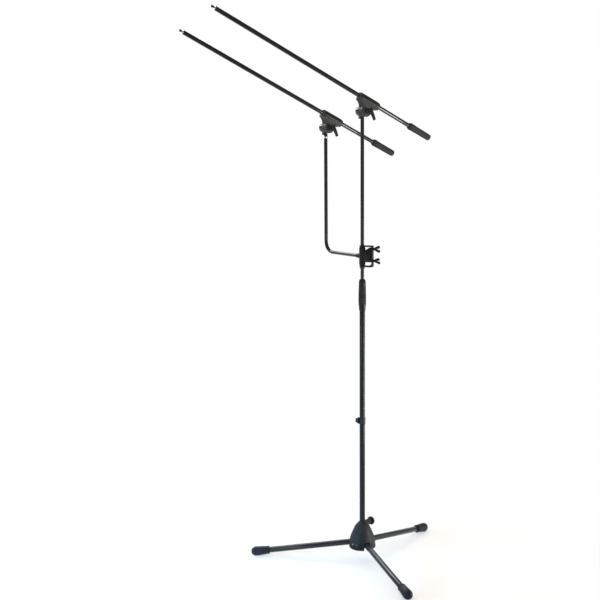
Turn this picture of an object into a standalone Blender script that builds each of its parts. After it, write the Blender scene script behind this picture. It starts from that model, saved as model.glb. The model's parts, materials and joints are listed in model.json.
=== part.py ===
# Microphone stand with two booms: a cast tripod hub, a telescopic column, and a bent side arm.
# The origin is on the column axis, in the plane of the hub's underside. Both booms point to +X.

import math

import bmesh
import bpy
from mathutils import Matrix, Vector

MM = 0.001

# Clearances
TOUCH_GAP = 0.3 * MM  # faces that rest on each other
FIT_GAP = 0.3 * MM  # radial, a shaft in its hole
SLIDE_GAP = 0.35 * MM  # radial, a leg in its slot

# Facets round a circle
ROUND_FINE = 30
ROUND_DISC = 24
ROUND_TUBE = 20
ROUND_SMALL = 14
ROUND_PIN = 10

# Hub
HUB_HEIGHT = 99 * MM
HUB_RIM_RADIUS = 49 * MM
HUB_NECK_RADIUS = 12.6 * MM
HUB_CHEEK = 5.5 * MM
HUB_SHELL = 6.5 * MM
POCKET_HEIGHT = 35 * MM

# Legs
LEG_AZIMUTHS = (-45.8, 74.2, 194.2)
LEG_PIN_RADIUS = 30 * MM
LEG_PIN_HEIGHT = 20.8 * MM
LEG_SLOPE = 8.5
LEG_LENGTH = 389.3 * MM
LEG_RADIUS = 10.75 * MM
LEG_WALL = 1.5 * MM
PIN_RADIUS = 3 * MM
PIN_HALF_LENGTH = 37 * MM

# Foot boots
BOOT_LENGTH = 67 * MM
BOOT_COLLAR_RADIUS = 14.5 * MM
BOOT_RADIUS = 17.4 * MM
BOOT_TIP_RADIUS = 8.5 * MM
BOOT_TIP_LENGTH = 17 * MM
BOOT_END_WALL = 9 * MM
BOOT_FLAT_DEPTH = 1 * MM

# Base knob
KNOB_DROP = 12 * MM  # below the hub's top
KNOB_BOSS_ROOT_RADIUS = 12 * MM
KNOB_BOSS_RADIUS = 9 * MM
KNOB_BOSS_REACH = 45 * MM
KNOB_RADIUS = 15 * MM
KNOB_THICKNESS = 13 * MM
KNOB_SCREW_RADIUS = 4 * MM
KNOB_SCREW_ENGAGEMENT = 6 * MM

# Column
LOWER_TUBE_RADIUS = 10 * MM
LOWER_TUBE_WALL = 1.5 * MM
LOWER_TUBE_TOP = 935 * MM
PLUG_FLANGE = 1.7 * MM
PLUG_DEPTH = 16 * MM
UPPER_TUBE_RADIUS = 6.5 * MM
UPPER_TUBE_WALL = 1.2 * MM
UPPER_TUBE_BOTTOM = 745 * MM
BUSH_LENGTH = 30 * MM
BUSH_FLOOR = 3 * MM

# Height clutch
CLUTCH_OVERLAP = 0.48  # share of the clutch below the lower tube's top
CLUTCH_LENGTH = 112.5 * MM
CLUTCH_RADIUS = 13.85 * MM
CLUTCH_BOTTOM_RADIUS = 11.3 * MM
CLUTCH_TOP_RADIUS = 12.3 * MM
CLUTCH_MOUTH_RADIUS = 9.5 * MM
CLUTCH_WALL = 1.3 * MM
CLUTCH_LIP = 18 * MM
CLUTCH_FLUTES = 10
CLUTCH_FLUTE_DEPTH = 0.6 * MM
CORE_COLLAR_LENGTH = 32 * MM
COLLET_LENGTH = 36 * MM
COLLET_SLIT = 2 * MM

# Cable clip
CLIP_HEIGHT = 466 * MM
CLIP_LENGTH = 22 * MM
CLIP_AZIMUTH = 321.5
CLIP_WALL = 1.3 * MM
CLIP_HOOK_RADIUS = 7.5 * MM
CLIP_HOOK_BORE = 5.4 * MM
CLIP_REACH = 24.6 * MM
CLIP_MOUTH = 7 * MM
CLIP_MOUTH_ANGLE = -55
CLIP_SLANT_RISE = 6 * MM
CLIP_SLANT_DROP = 1.2 * MM

# Side arm
ARM_RISE = 82.5 * MM  # from the clutch's top to the arm's level part
ARM_SPREAD = 214 * MM
ARM_TUBE_RADIUS = 6.5 * MM
ARM_TUBE_WALL = 1.2 * MM
ARM_BEND_RADIUS = 39 * MM
ARM_BOSS_RADIUS = 8 * MM
ARM_BOSS_REACH = 30 * MM
ARM_BOSS_DEPTH = 16 * MM
ARM_RING_RADIUS = 7.1 * MM
ARM_RING_LENGTH = 6.6 * MM
SLEEVE_RADIUS = 11.4 * MM
SLEEVE_CHAMFER = 5.5 * MM

# Arm bracket with its jaw and wing screws
YOKE_AZIMUTH = 121.5
YOKE_DROP = 38 * MM  # below the arm
YOKE_HEIGHT = 76.5 * MM
YOKE_PLATE = 4.5 * MM
YOKE_GUSSET = 7 * MM
YOKE_WEB = 3 * MM
YOKE_REACH = 39.9 * MM
YOKE_WIDTH = 18 * MM
YOKE_EYE_RADIUS = 10.2 * MM
LINER_LENGTH = 6.2 * MM
LINER_WALL = 1.5 * MM
JAW_DROP = 20.5 * MM  # below the arm
JAW_HEIGHT = 41.5 * MM
JAW_FLARE = 10.5 * MM
JAW_WIDTH = 14 * MM
JAW_TRAVEL_GAP = 1.8 * MM
WING_SCREW_OFFSETS = (-15.5 * MM, 26.5 * MM)  # from the arm's height
WING_SCREW_ANGLES = (30, 14)
WING_SCREW_RADIUS = 3 * MM
WING_SCREW_TIP = 28 * MM
WING_SCREW_SPARE = 2 * MM
WING_HUB_RADIUS = 5 * MM
WING_HUB_LENGTH = 6 * MM
WING_REACH = 27 * MM
WING_HALF_SPAN = 7 * MM
WING_LOBE_RADIUS = 5.5 * MM
WING_THICKNESS = 2.6 * MM

# Boom heads, in the frame of the tilt axis: X along the boom, Y along the axis
HEAD_HEIGHTS = (1585.5 * MM, 1528.5 * MM)
HEAD_DROP = 32.2 * MM
DISC_RADIUS = 18.75 * MM
DISC_NEAR = 1 * MM
DISC_THICKNESS = 17 * MM
COLLAR_RADIUS = 7 * MM
COLLAR_TOP = 22 * MM
SPIGOT_RADIUS = 5 * MM
SPIGOT_LENGTH = 30 * MM
WASHER_RADIUS = 17.4 * MM
BOLT_RADIUS = 3 * MM
BOLT_CAP_RADIUS = 14 * MM
BOLT_CAP_HEIGHT = 5.7 * MM
BOLT_LENGTH = 58 * MM
EAR_RADIUS = 21 * MM
EAR_THICKNESS = 25 * MM
EAR_EDGE = 2.4 * MM
BOOM_OFFSET = 37 * MM
BOOM_PLANE = 15 * MM
SPLIT_GAP = 0.6 * MM
BOOM_SLEEVE_RADIUS = 14 * MM
BOOM_SLEEVE_LENGTH = 96 * MM

# Clamping levers
LEVER_HUB_RADIUS = 9 * MM
LEVER_HUB_LENGTH = 16.5 * MM
LEVER_RECESS_RADIUS = 5.2 * MM
LEVER_RECESS_DEPTH = 2.6 * MM
LEVER_WIDTH = 11 * MM
LEVER_DROP = 34 * MM
LEVER_RISE = 10 * MM
LEVER_LEAN = 19

# Booms, in the frame of the boom axis with the clamp's middle at zero
BOOM_ELEVATION = 24.4
BOOM_RADIUS = 7.5 * MM
BOOM_WALL = 1.2 * MM
BOOM_FRONT = 678.3 * MM
BOOM_REAR = 299.9 * MM
BOOM_SLIDES = (0, -8.2 * MM)
STUD_SHOULDER_RADIUS = 8.2 * MM
STUD_SHOULDER = 1.5 * MM
STUD_RADIUS = 4.75 * MM
STUD_LENGTH = 11 * MM
STUD_SPIGOT_LENGTH = 20 * MM
STUD_RECESS_RADIUS = 3.1 * MM
STUD_RECESS_DEPTH = 5 * MM
GRIP_LENGTH = 110 * MM
GRIP_SHOULDER_RADIUS = 12.75 * MM
GRIP_RADIUS = 11.5 * MM
GRIP_MOUTH_RADIUS = 9.2 * MM
GRIP_END_WALL = 11.7 * MM

TURN_X = Matrix.Rotation(math.radians(90), 4, "Y")
TURN_Y = Matrix.Rotation(math.radians(-90), 4, "X")


def clear_scene():
    for obj in list(bpy.data.objects):
        bpy.data.objects.remove(obj, do_unlink=True)


def surface(name, colour, roughness, metallic):
    material = bpy.data.materials.new(name)
    material.use_nodes = True
    shader = material.node_tree.nodes["Principled BSDF"]
    shader.inputs["Base Color"].default_value = (*colour, 1)
    shader.inputs["Roughness"].default_value = roughness
    shader.inputs["Metallic"].default_value = metallic
    return material


def axis_empty(name, parent=None, location=(0, 0, 0), turn=(0, 0, 0)):
    empty = bpy.data.objects.new(name, None)
    empty.empty_display_size = 0.03
    empty.parent = parent
    empty.location = location
    empty.rotation_euler = [math.radians(angle) for angle in turn]
    bpy.context.scene.collection.objects.link(empty)
    return empty


def place(mesh, name, parent, location=(0, 0, 0), turn=(0, 0, 0)):
    obj = bpy.data.objects.new(name, mesh)
    obj.parent = parent
    obj.location = location
    obj.rotation_euler = [math.radians(angle) for angle in turn]
    bpy.context.scene.collection.objects.link(obj)
    return obj


def mesh_of(name, shape, material=None, turned_by=None):
    if turned_by is not None:
        bmesh.ops.transform(shape, matrix=turned_by, verts=shape.verts)
    bmesh.ops.recalc_face_normals(shape, faces=shape.faces)
    mesh = bpy.data.meshes.new(name)
    shape.to_mesh(mesh)
    shape.free()
    mesh.shade_smooth()
    mesh.set_sharp_from_angle(angle=math.radians(32))
    if material is not None:
        mesh.materials.append(material)
    return mesh


def cutter(name, shape, parent, location=(0, 0, 0), turn=(0, 0, 0), turned_by=None):
    obj = place(mesh_of(name, shape, None, turned_by), name, parent, location, turn)
    obj.hide_render = True
    obj.display_type = "WIRE"
    return obj


def combine(target, other, operation="DIFFERENCE"):
    modifier = target.modifiers.new(other.name, "BOOLEAN")
    modifier.operation = operation
    modifier.solver = "EXACT"
    modifier.object = other


# A profile of (radius, height) points turned round Z. An open one starts and ends on the axis.
def turned(profile, steps, closed=False):
    shape = bmesh.new()
    points = [shape.verts.new((radius, 0, height)) for radius, height in profile]
    edges = [shape.edges.new(pair) for pair in zip(points, points[1:])]
    if closed:
        edges.append(shape.edges.new((points[-1], points[0])))
    bmesh.ops.spin(
        shape,
        geom=points + edges,
        cent=(0, 0, 0),
        axis=(0, 0, 1),
        angle=math.tau,
        steps=steps,
        use_merge=True,
    )
    bmesh.ops.remove_doubles(shape, verts=shape.verts, dist=1e-6)
    return shape


def ring(inner, outer, low, high, steps):
    return turned([(inner, low), (outer, low), (outer, high), (inner, high)], steps, closed=True)


def rod(radius, low, high, steps, chamfer=0.0):
    if not chamfer:
        return turned([(0, low), (radius, low), (radius, high), (0, high)], steps)
    return turned(
        [
            (0, low),
            (radius - chamfer, low),
            (radius, low + chamfer),
            (radius, high - chamfer),
            (radius - chamfer, high),
            (0, high),
        ],
        steps,
    )


# A flat outline in XY pulled up from one height to another, with its top edge bevelled if asked
def prism(outline, low, high, bevel=0.0, both=False, rounds=1):
    shape = bmesh.new()
    face = shape.faces.new([shape.verts.new((x, y, low)) for x, y in outline])
    made = bmesh.ops.extrude_face_region(shape, geom=[face])["geom"]
    top = [item for item in made if isinstance(item, bmesh.types.BMVert)]
    bmesh.ops.translate(shape, verts=top, vec=(0, 0, high - low))
    if bevel:
        level = [high, low] if both else [high]
        edges = [
            edge
            for edge in shape.edges
            if any(all(abs(vert.co.z - z) < 1e-7 for vert in edge.verts) for z in level)
        ]
        bmesh.ops.recalc_face_normals(shape, faces=shape.faces)
        bmesh.ops.bevel(shape, geom=edges, offset=bevel, segments=rounds, profile=0.6, affect="EDGES")
    return shape


def block(low, high, bevel=0.0):
    outline = [(low[0], low[1]), (high[0], low[1]), (high[0], high[1]), (low[0], high[1])]
    return prism(outline, low[2], high[2], bevel, both=True)


def arc(centre, radius, start, end, steps):
    angles = [math.radians(start + (end - start) * step / steps) for step in range(steps + 1)]
    return [(centre[0] + radius * math.cos(a), centre[1] + radius * math.sin(a)) for a in angles]


def curve_between(start, pull, end, steps):
    points = []
    for step in range(steps + 1):
        t = step / steps
        weights = ((1 - t) ** 2, 2 * t * (1 - t), t * t)
        points.append(
            tuple(sum(w * p[k] for w, p in zip(weights, (start, pull, end))) for k in range(2))
        )
    return points


# Two circles on the X axis joined by their common tangents
def link_outline(first_radius, second_radius, distance, steps):
    lean = math.degrees(math.acos((first_radius - second_radius) / distance))
    return arc((0, 0), first_radius, lean, 360 - lean, steps) + arc(
        (distance, 0), second_radius, -lean, lean, steps
    )


# A tube that runs along +X, bends up to +Z, and rises
def bent_tube(outer, inner, run, bend, rise, steps, sides):
    shape = bmesh.new()
    ends = []
    for radius in (outer, inner):
        circle = bmesh.ops.create_circle(shape, segments=sides, radius=radius, matrix=TURN_X)
        verts = circle["verts"]
        edges = list({edge for vert in verts for edge in vert.link_edges})
        first = edges
        made = bmesh.ops.extrude_edge_only(shape, edges=edges)["geom"]
        verts = [item for item in made if isinstance(item, bmesh.types.BMVert)]
        edges = [item for item in made if isinstance(item, bmesh.types.BMEdge)]
        edges = [edge for edge in edges if all(vert in verts for vert in edge.verts)]
        bmesh.ops.translate(shape, verts=verts, vec=(run, 0, 0))
        made = bmesh.ops.spin(
            shape,
            geom=edges,
            cent=(run, 0, bend),
            axis=(0, -1, 0),
            angle=math.radians(90),
            steps=steps,
        )["geom_last"]
        verts = [item for item in made if isinstance(item, bmesh.types.BMVert)]
        edges = [item for item in made if isinstance(item, bmesh.types.BMEdge)]
        made = bmesh.ops.extrude_edge_only(shape, edges=edges)["geom"]
        verts = [item for item in made if isinstance(item, bmesh.types.BMVert)]
        edges = [item for item in made if isinstance(item, bmesh.types.BMEdge)]
        edges = [edge for edge in edges if all(vert in verts for vert in edge.verts)]
        bmesh.ops.translate(shape, verts=verts, vec=(0, 0, rise))
        ends.append((first, edges))
        # The bore's faces look the other way, so that the ends close as plain rings
        bmesh.ops.reverse_faces(shape, faces=shape.faces)
    bmesh.ops.bridge_loops(shape, edges=ends[0][0] + ends[1][0])
    bmesh.ops.bridge_loops(shape, edges=ends[0][1] + ends[1][1])
    bmesh.ops.remove_doubles(shape, verts=shape.verts, dist=1e-6)
    return shape


clear_scene()

# Finishes
cast_black = surface("cast_black", (0.03, 0.034, 0.038), 0.55, 0.0)
tube_black = surface("tube_black", (0.012, 0.012, 0.014), 0.28, 0.0)
moulded_black = surface("moulded_black", (0.035, 0.035, 0.036), 0.5, 0.0)
soft_black = surface("soft_black", (0.02, 0.021, 0.024), 0.75, 0.0)
bright_nickel = surface("bright_nickel", (0.78, 0.78, 0.76), 0.25, 1.0)
zinc_steel = surface("zinc_steel", (0.4, 0.4, 0.4), 0.4, 1.0)

# Hub, with its origin on the column axis
base = axis_empty("base_frame")
column_bore = LOWER_TUBE_RADIUS + FIT_GAP
leg_clear = LEG_RADIUS + SLIDE_GAP
slot_half = leg_clear + 0.2 * MM

hub_profile = [
    (0, 0),
    (HUB_RIM_RADIUS - 4 * MM, 0),
    (HUB_RIM_RADIUS - 1.2 * MM, 2.4 * MM),
    (HUB_RIM_RADIUS, 7 * MM),
    (HUB_RIM_RADIUS - 0.5 * MM, 15 * MM),
    (HUB_RIM_RADIUS * 0.949, HUB_HEIGHT * 0.313),
    (HUB_RIM_RADIUS * 0.895, HUB_HEIGHT * 0.434),
    (HUB_RIM_RADIUS * 0.745, HUB_HEIGHT * 0.616),
    (HUB_RIM_RADIUS * 0.66, HUB_HEIGHT * 0.71),
    (HUB_RIM_RADIUS * 0.571, HUB_HEIGHT * 0.808),
    (HUB_RIM_RADIUS * 0.45, HUB_HEIGHT * 0.889),
    (HUB_RIM_RADIUS * 0.34, HUB_HEIGHT * 0.95),
    (HUB_NECK_RADIUS, HUB_HEIGHT - 1.5 * MM),
    (HUB_NECK_RADIUS - 1 * MM, HUB_HEIGHT),
    (0, HUB_HEIGHT),
]
base_hub = place(
    mesh_of("base_hub", turned(hub_profile, ROUND_FINE), cast_black),
    "base_hub",
    base,
    turn=(0, 0, LEG_AZIMUTHS[0] + 180 / ROUND_FINE),
)

# The clamping boss stands over one leg, and tapers to the knob
knob_axis = axis_empty("knob_axis", base, (0, 0, HUB_HEIGHT - KNOB_DROP), (0, 0, LEG_AZIMUTHS[2]))
boss_profile = [
    (0, column_bore + 3 * MM),
    (KNOB_BOSS_ROOT_RADIUS, column_bore + 3 * MM),
    (KNOB_BOSS_ROOT_RADIUS, 24 * MM),
    (KNOB_BOSS_RADIUS, KNOB_BOSS_REACH - 1 * MM),
    (KNOB_BOSS_RADIUS - 1 * MM, KNOB_BOSS_REACH),
    (0, KNOB_BOSS_REACH),
]
combine(
    base_hub,
    cutter("boss_form", turned(boss_profile, ROUND_SMALL), knob_axis, turned_by=TURN_X),
    "UNION",
)
combine(
    base_hub,
    cutter("column_bore_cut", rod(column_bore, -5 * MM, HUB_HEIGHT + 5 * MM, ROUND_TUBE), base),
)
combine(
    base_hub,
    cutter(
        "knob_bore_cut",
        rod(KNOB_SCREW_RADIUS + FIT_GAP, 0, KNOB_BOSS_REACH + 5 * MM, ROUND_SMALL),
        knob_axis,
        turned_by=TURN_X,
    ),
)

# Side view of a leg slot, about the pin: round behind the pin, with a roof that stops the leg
slot_far = HUB_RIM_RADIUS
slot_side = [
    (-leg_clear, -2 * LEG_PIN_HEIGHT),
    (slot_far, -2 * LEG_PIN_HEIGHT),
    (slot_far, leg_clear / math.cos(math.radians(LEG_SLOPE)) - slot_far * math.tan(math.radians(LEG_SLOPE))),
] + arc((0, 0), leg_clear, 90 - LEG_SLOPE, 180, 8)
slot_turn = Matrix.Rotation(math.radians(90), 4, "X")

# Underside pocket between two slots, with cheeks of even thickness
cheek_line = slot_half + HUB_CHEEK
pocket_inner = cheek_line / math.sin(math.radians(60))
pocket_outer = HUB_RIM_RADIUS - HUB_SHELL
reach = (math.sqrt(4 * pocket_outer**2 - 3 * pocket_inner**2) - pocket_inner) / 2
corner = (pocket_inner + reach / 2, reach * math.sqrt(3) / 2)
corner_angle = math.degrees(math.atan2(corner[1], corner[0]))
pocket_outline = [(pocket_inner, 0)] + arc((0, 0), pocket_outer, -corner_angle, corner_angle, 8)

leg_axes = []
for number, azimuth in enumerate(LEG_AZIMUTHS, 1):
    spoke = axis_empty(f"spoke_{number}", base, (0, 0, LEG_PIN_HEIGHT), (0, 0, azimuth))
    slot = prism(slot_side, -slot_half, slot_half)
    combine(
        base_hub,
        cutter(f"leg_slot_cut_{number}", slot, spoke, (LEG_PIN_RADIUS, 0, 0), turned_by=slot_turn),
    )
    pocket = prism(pocket_outline, -LEG_PIN_HEIGHT - 5 * MM, POCKET_HEIGHT - LEG_PIN_HEIGHT)
    combine(base_hub, cutter(f"pocket_cut_{number}", pocket, spoke, turn=(0, 0, 60)))
    hole = rod(PIN_RADIUS + FIT_GAP, -HUB_RIM_RADIUS, HUB_RIM_RADIUS, ROUND_PIN)
    combine(
        base_hub,
        cutter(f"pin_hole_cut_{number}", hole, spoke, (LEG_PIN_RADIUS, 0, 0), turned_by=TURN_Y),
    )
    pin = rod(PIN_RADIUS, -PIN_HALF_LENGTH, PIN_HALF_LENGTH, ROUND_PIN, 0.5 * MM)
    place(
        mesh_of("leg_pin", pin, zinc_steel, TURN_Y),
        f"leg_pin_{number}",
        spoke,
        (LEG_PIN_RADIUS, 0, 0),
    )
    leg_axes.append(
        axis_empty(f"leg_axis_{number}", spoke, (LEG_PIN_RADIUS, 0, 0), (0, LEG_SLOPE, 0))
    )

# Legs, along +X of their own axis empty, each with its origin on the pin
boot_start = LEG_LENGTH - BOOT_LENGTH
leg_end = LEG_LENGTH - BOOT_END_WALL - TOUCH_GAP
leg_profile = ring(LEG_RADIUS - LEG_WALL, LEG_RADIUS, -LEG_RADIUS, leg_end, ROUND_TUBE)
leg_mesh = mesh_of("leg_tube", leg_profile, tube_black, TURN_X)
boot_bore = LEG_RADIUS + FIT_GAP
boot_profile = [
    (0, LEG_LENGTH),
    (BOOT_TIP_RADIUS, LEG_LENGTH),
    (BOOT_RADIUS - 4 * MM, LEG_LENGTH - BOOT_TIP_LENGTH * 0.3),
    (BOOT_RADIUS - 1 * MM, LEG_LENGTH - BOOT_TIP_LENGTH * 0.68),
    (BOOT_RADIUS, LEG_LENGTH - BOOT_TIP_LENGTH),
    ((BOOT_RADIUS + BOOT_COLLAR_RADIUS) / 2, boot_start + BOOT_LENGTH * 0.38),
    (BOOT_COLLAR_RADIUS, boot_start + 6 * MM),
    (BOOT_COLLAR_RADIUS + 0.5 * MM, boot_start + 4.5 * MM),
    (BOOT_COLLAR_RADIUS + 0.5 * MM, boot_start + 1 * MM),
    (BOOT_COLLAR_RADIUS - 0.3 * MM, boot_start),
    (boot_bore, boot_start),
    (boot_bore, LEG_LENGTH - BOOT_END_WALL),
    (0, LEG_LENGTH - BOOT_END_WALL),
]
boot_mesh = mesh_of("foot_boot", turned(boot_profile, ROUND_TUBE), soft_black, TURN_X)

# The floor lies where the boots' lowest edge is pressed flat
slope = math.radians(LEG_SLOPE)
boot_low_x = LEG_LENGTH - BOOT_TIP_LENGTH
FLOOR = (
    LEG_PIN_HEIGHT
    - boot_low_x * math.sin(slope)
    - BOOT_RADIUS * math.cos(slope)
    + BOOT_FLAT_DEPTH
)
floor_size = LEG_PIN_RADIUS + 1.2 * LEG_LENGTH
floor_cut = cutter(
    "floor_cut",
    block((-floor_size, -floor_size, FLOOR - 50 * MM), (floor_size, floor_size, FLOOR)),
    base,
)
leg_outline = arc((0, 0), LEG_RADIUS, 90, 270, 10) + [
    (LEG_LENGTH, -LEG_RADIUS),
    (LEG_LENGTH, LEG_RADIUS),
]
for number, leg_axis in enumerate(leg_axes, 1):
    leg = place(leg_mesh, f"leg_tube_{number}", leg_axis)
    rounding = prism(
        [(x, y * 1.02 if abs(y) > 0.999 * LEG_RADIUS else y) for x, y in leg_outline],
        -2 * LEG_RADIUS,
        2 * LEG_RADIUS,
    )
    combine(
        leg,
        cutter(f"leg_rounding_{number}", rounding, leg_axis, turned_by=slot_turn),
        "INTERSECT",
    )
    hole = rod(PIN_RADIUS + FIT_GAP, -2 * LEG_RADIUS, 2 * LEG_RADIUS, ROUND_PIN)
    combine(leg, cutter(f"leg_hole_cut_{number}", hole, leg_axis, turned_by=TURN_Y))
    boot = place(boot_mesh, f"foot_boot_{number}", leg_axis)
    combine(boot, floor_cut)

# Clamping knob on its threaded shank, which presses on the column
knob_start = KNOB_BOSS_REACH + 1.2 * MM
knob_end = knob_start + KNOB_THICKNESS
screw_tip = LOWER_TUBE_RADIUS + TOUCH_GAP
screw_end = knob_start + KNOB_SCREW_ENGAGEMENT
knob_bore = KNOB_SCREW_RADIUS + FIT_GAP
knob_profile = [
    (knob_bore, knob_start),
    (KNOB_RADIUS * 0.62, knob_start),
    (KNOB_RADIUS * 0.72, knob_start + 1.5 * MM),
    (KNOB_RADIUS - 1.2 * MM, knob_start + 2.4 * MM),
    (KNOB_RADIUS, knob_start + 4 * MM),
    (KNOB_RADIUS, knob_end - 4.5 * MM),
    (KNOB_RADIUS - 1.3 * MM, knob_end - 1.8 * MM),
    (KNOB_RADIUS - 4 * MM, knob_end - 0.5 * MM),
    (KNOB_RADIUS * 0.5, knob_end),
    (0, knob_end),
    (0, screw_end + TOUCH_GAP),
    (knob_bore, screw_end + TOUCH_GAP),
]
place(
    mesh_of("base_knob", turned(knob_profile, ROUND_SMALL, closed=True), moulded_black, TURN_X),
    "base_knob",
    knob_axis,
)
place(
    mesh_of(
        "base_knob_screw",
        rod(KNOB_SCREW_RADIUS, screw_tip, screw_end, ROUND_SMALL, 0.8 * MM),
        zinc_steel,
        TURN_X,
    ),
    "base_knob_screw",
    knob_axis,
)

# Lower column with the plug that closes its bottom end
column = axis_empty("column_axis")
tube_bore = LOWER_TUBE_RADIUS - LOWER_TUBE_WALL
tube_bottom = PLUG_FLANGE + TOUCH_GAP
place(
    mesh_of(
        "lower_tube",
        ring(tube_bore, LOWER_TUBE_RADIUS, tube_bottom, LOWER_TUBE_TOP, ROUND_TUBE),
        tube_black,
    ),
    "lower_tube",
    column,
)
plug_radius = tube_bore - FIT_GAP
plug_profile = [
    (0, 0),
    (LOWER_TUBE_RADIUS - 0.7 * MM, 0),
    (LOWER_TUBE_RADIUS - 0.1 * MM, 0.6 * MM),
    (LOWER_TUBE_RADIUS - 0.1 * MM, PLUG_FLANGE),
    (plug_radius, PLUG_FLANGE),
    (plug_radius, PLUG_DEPTH - 1 * MM),
    (plug_radius - 1 * MM, PLUG_DEPTH),
    (0, PLUG_DEPTH),
]
place(mesh_of("column_plug", turned(plug_profile, ROUND_TUBE), moulded_black), "column_plug", column)

# Height clutch: a threaded core on the lower tube, a split collet, and the fluted grip round both
clutch_bottom = LOWER_TUBE_TOP - CLUTCH_LENGTH * CLUTCH_OVERLAP
clutch_top = clutch_bottom + CLUTCH_LENGTH
core_bottom = clutch_bottom + CLUTCH_LIP + TOUCH_GAP
core_step = core_bottom + CORE_COLLAR_LENGTH
core_top = clutch_top - 15 * MM
core_bore = LOWER_TUBE_RADIUS + FIT_GAP
neck_bore = tube_bore
neck_radius = CLUTCH_TOP_RADIUS - CLUTCH_WALL - FIT_GAP - 0.3 * MM
collar_radius = neck_radius + 1 * MM
grip_mouth = UPPER_TUBE_RADIUS + FIT_GAP + 0.1 * MM
core_profile = [
    (core_bore, core_bottom),
    (collar_radius, core_bottom),
    (collar_radius, core_step),
    (neck_radius, core_step),
    (neck_radius, core_top),
    (neck_bore, core_top),
    (neck_bore, LOWER_TUBE_TOP + TOUCH_GAP),
    (core_bore, LOWER_TUBE_TOP + TOUCH_GAP),
]
place(
    mesh_of("clutch_core", turned(core_profile, ROUND_TUBE, closed=True), moulded_black),
    "clutch_core",
    column,
)
collet_radius = neck_bore - FIT_GAP
collet_top = core_top
collet_bottom = collet_top - COLLET_LENGTH
collet = place(
    mesh_of(
        "clutch_collet",
        ring(UPPER_TUBE_RADIUS + FIT_GAP, collet_radius, collet_bottom, collet_top, ROUND_TUBE),
        moulded_black,
    ),
    "clutch_collet",
    column,
)
combine(
    collet,
    cutter(
        "collet_slit_cut",
        block(
            (0, -COLLET_SLIT / 2, collet_bottom - 5 * MM),
            (2 * collet_radius, COLLET_SLIT / 2, collet_top + 5 * MM),
        ),
        column,
    ),
)

clutch_axis = axis_empty("clutch_axis", column)
grip_profile = [
    (core_bore, clutch_bottom),
    (CLUTCH_BOTTOM_RADIUS, clutch_bottom),
    (CLUTCH_BOTTOM_RADIUS + 0.9 * MM, clutch_bottom + CLUTCH_LENGTH * 0.115),
    (CLUTCH_RADIUS - 0.55 * MM, clutch_bottom + CLUTCH_LENGTH * 0.196),
    (CLUTCH_RADIUS, clutch_bottom + CLUTCH_LENGTH * 0.356),
    (CLUTCH_RADIUS - 0.35 * MM, clutch_bottom + CLUTCH_LENGTH * 0.55),
    (CLUTCH_TOP_RADIUS + 0.55 * MM, clutch_bottom + CLUTCH_LENGTH * 0.756),
    (CLUTCH_TOP_RADIUS, clutch_top - 9 * MM),
    (CLUTCH_MOUTH_RADIUS, clutch_top),
    (grip_mouth, clutch_top),
    (grip_mouth, core_top + TOUCH_GAP),
    (neck_radius + FIT_GAP, core_top + TOUCH_GAP),
    (neck_radius + FIT_GAP, core_step + TOUCH_GAP),
    (collar_radius + FIT_GAP, core_step + TOUCH_GAP),
    (collar_radius + FIT_GAP, core_bottom - TOUCH_GAP),
    (core_bore, core_bottom - TOUCH_GAP),
]
grip = place(
    mesh_of("clutch_grip", turned(grip_profile, 2 * CLUTCH_FLUTES, closed=True), moulded_black),
    "clutch_grip",
    clutch_axis,
)
flute_radius = 3 * MM
for number in range(CLUTCH_FLUTES):
    angle = math.tau * (number + 0.5) / CLUTCH_FLUTES
    distance = CLUTCH_RADIUS + flute_radius - CLUTCH_FLUTE_DEPTH
    flute = rod(
        flute_radius,
        clutch_bottom + CLUTCH_LENGTH * 0.2,
        clutch_top - CLUTCH_LENGTH * 0.16,
        ROUND_PIN,
    )
    place_at = (distance * math.cos(angle), distance * math.sin(angle), 0)
    combine(grip, cutter(f"flute_cut_{number + 1}", flute, clutch_axis, place_at))

# Upper column, which slides in the lower one on a bush at its bottom end
mast = axis_empty("mast_axis", column, (0, 0, UPPER_TUBE_BOTTOM))
mast_top = HEAD_HEIGHTS[0] - HEAD_DROP - TOUCH_GAP
upper_bore = UPPER_TUBE_RADIUS - UPPER_TUBE_WALL
place(
    mesh_of(
        "upper_tube",
        ring(upper_bore, UPPER_TUBE_RADIUS, 0, mast_top - UPPER_TUBE_BOTTOM, ROUND_TUBE),
        tube_black,
    ),
    "upper_tube",
    mast,
)
bush_profile = [
    (0, -BUSH_FLOOR - TOUCH_GAP),
    (plug_radius, -BUSH_FLOOR - TOUCH_GAP),
    (plug_radius, BUSH_LENGTH),
    (UPPER_TUBE_RADIUS + FIT_GAP, BUSH_LENGTH),
    (UPPER_TUBE_RADIUS + FIT_GAP, -TOUCH_GAP),
    (0, -TOUCH_GAP),
]
place(mesh_of("guide_bush", turned(bush_profile, ROUND_TUBE), moulded_black), "guide_bush", mast)

# Cable clip: a ring on the lower tube with an open hook for the cable
clip_axis = axis_empty("clip_axis", column, (0, 0, CLIP_HEIGHT), (0, 0, CLIP_AZIMUTH))
clip_ring = LOWER_TUBE_RADIUS + FIT_GAP + CLIP_WALL
hook_centre = CLIP_REACH - CLIP_HOOK_RADIUS
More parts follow.
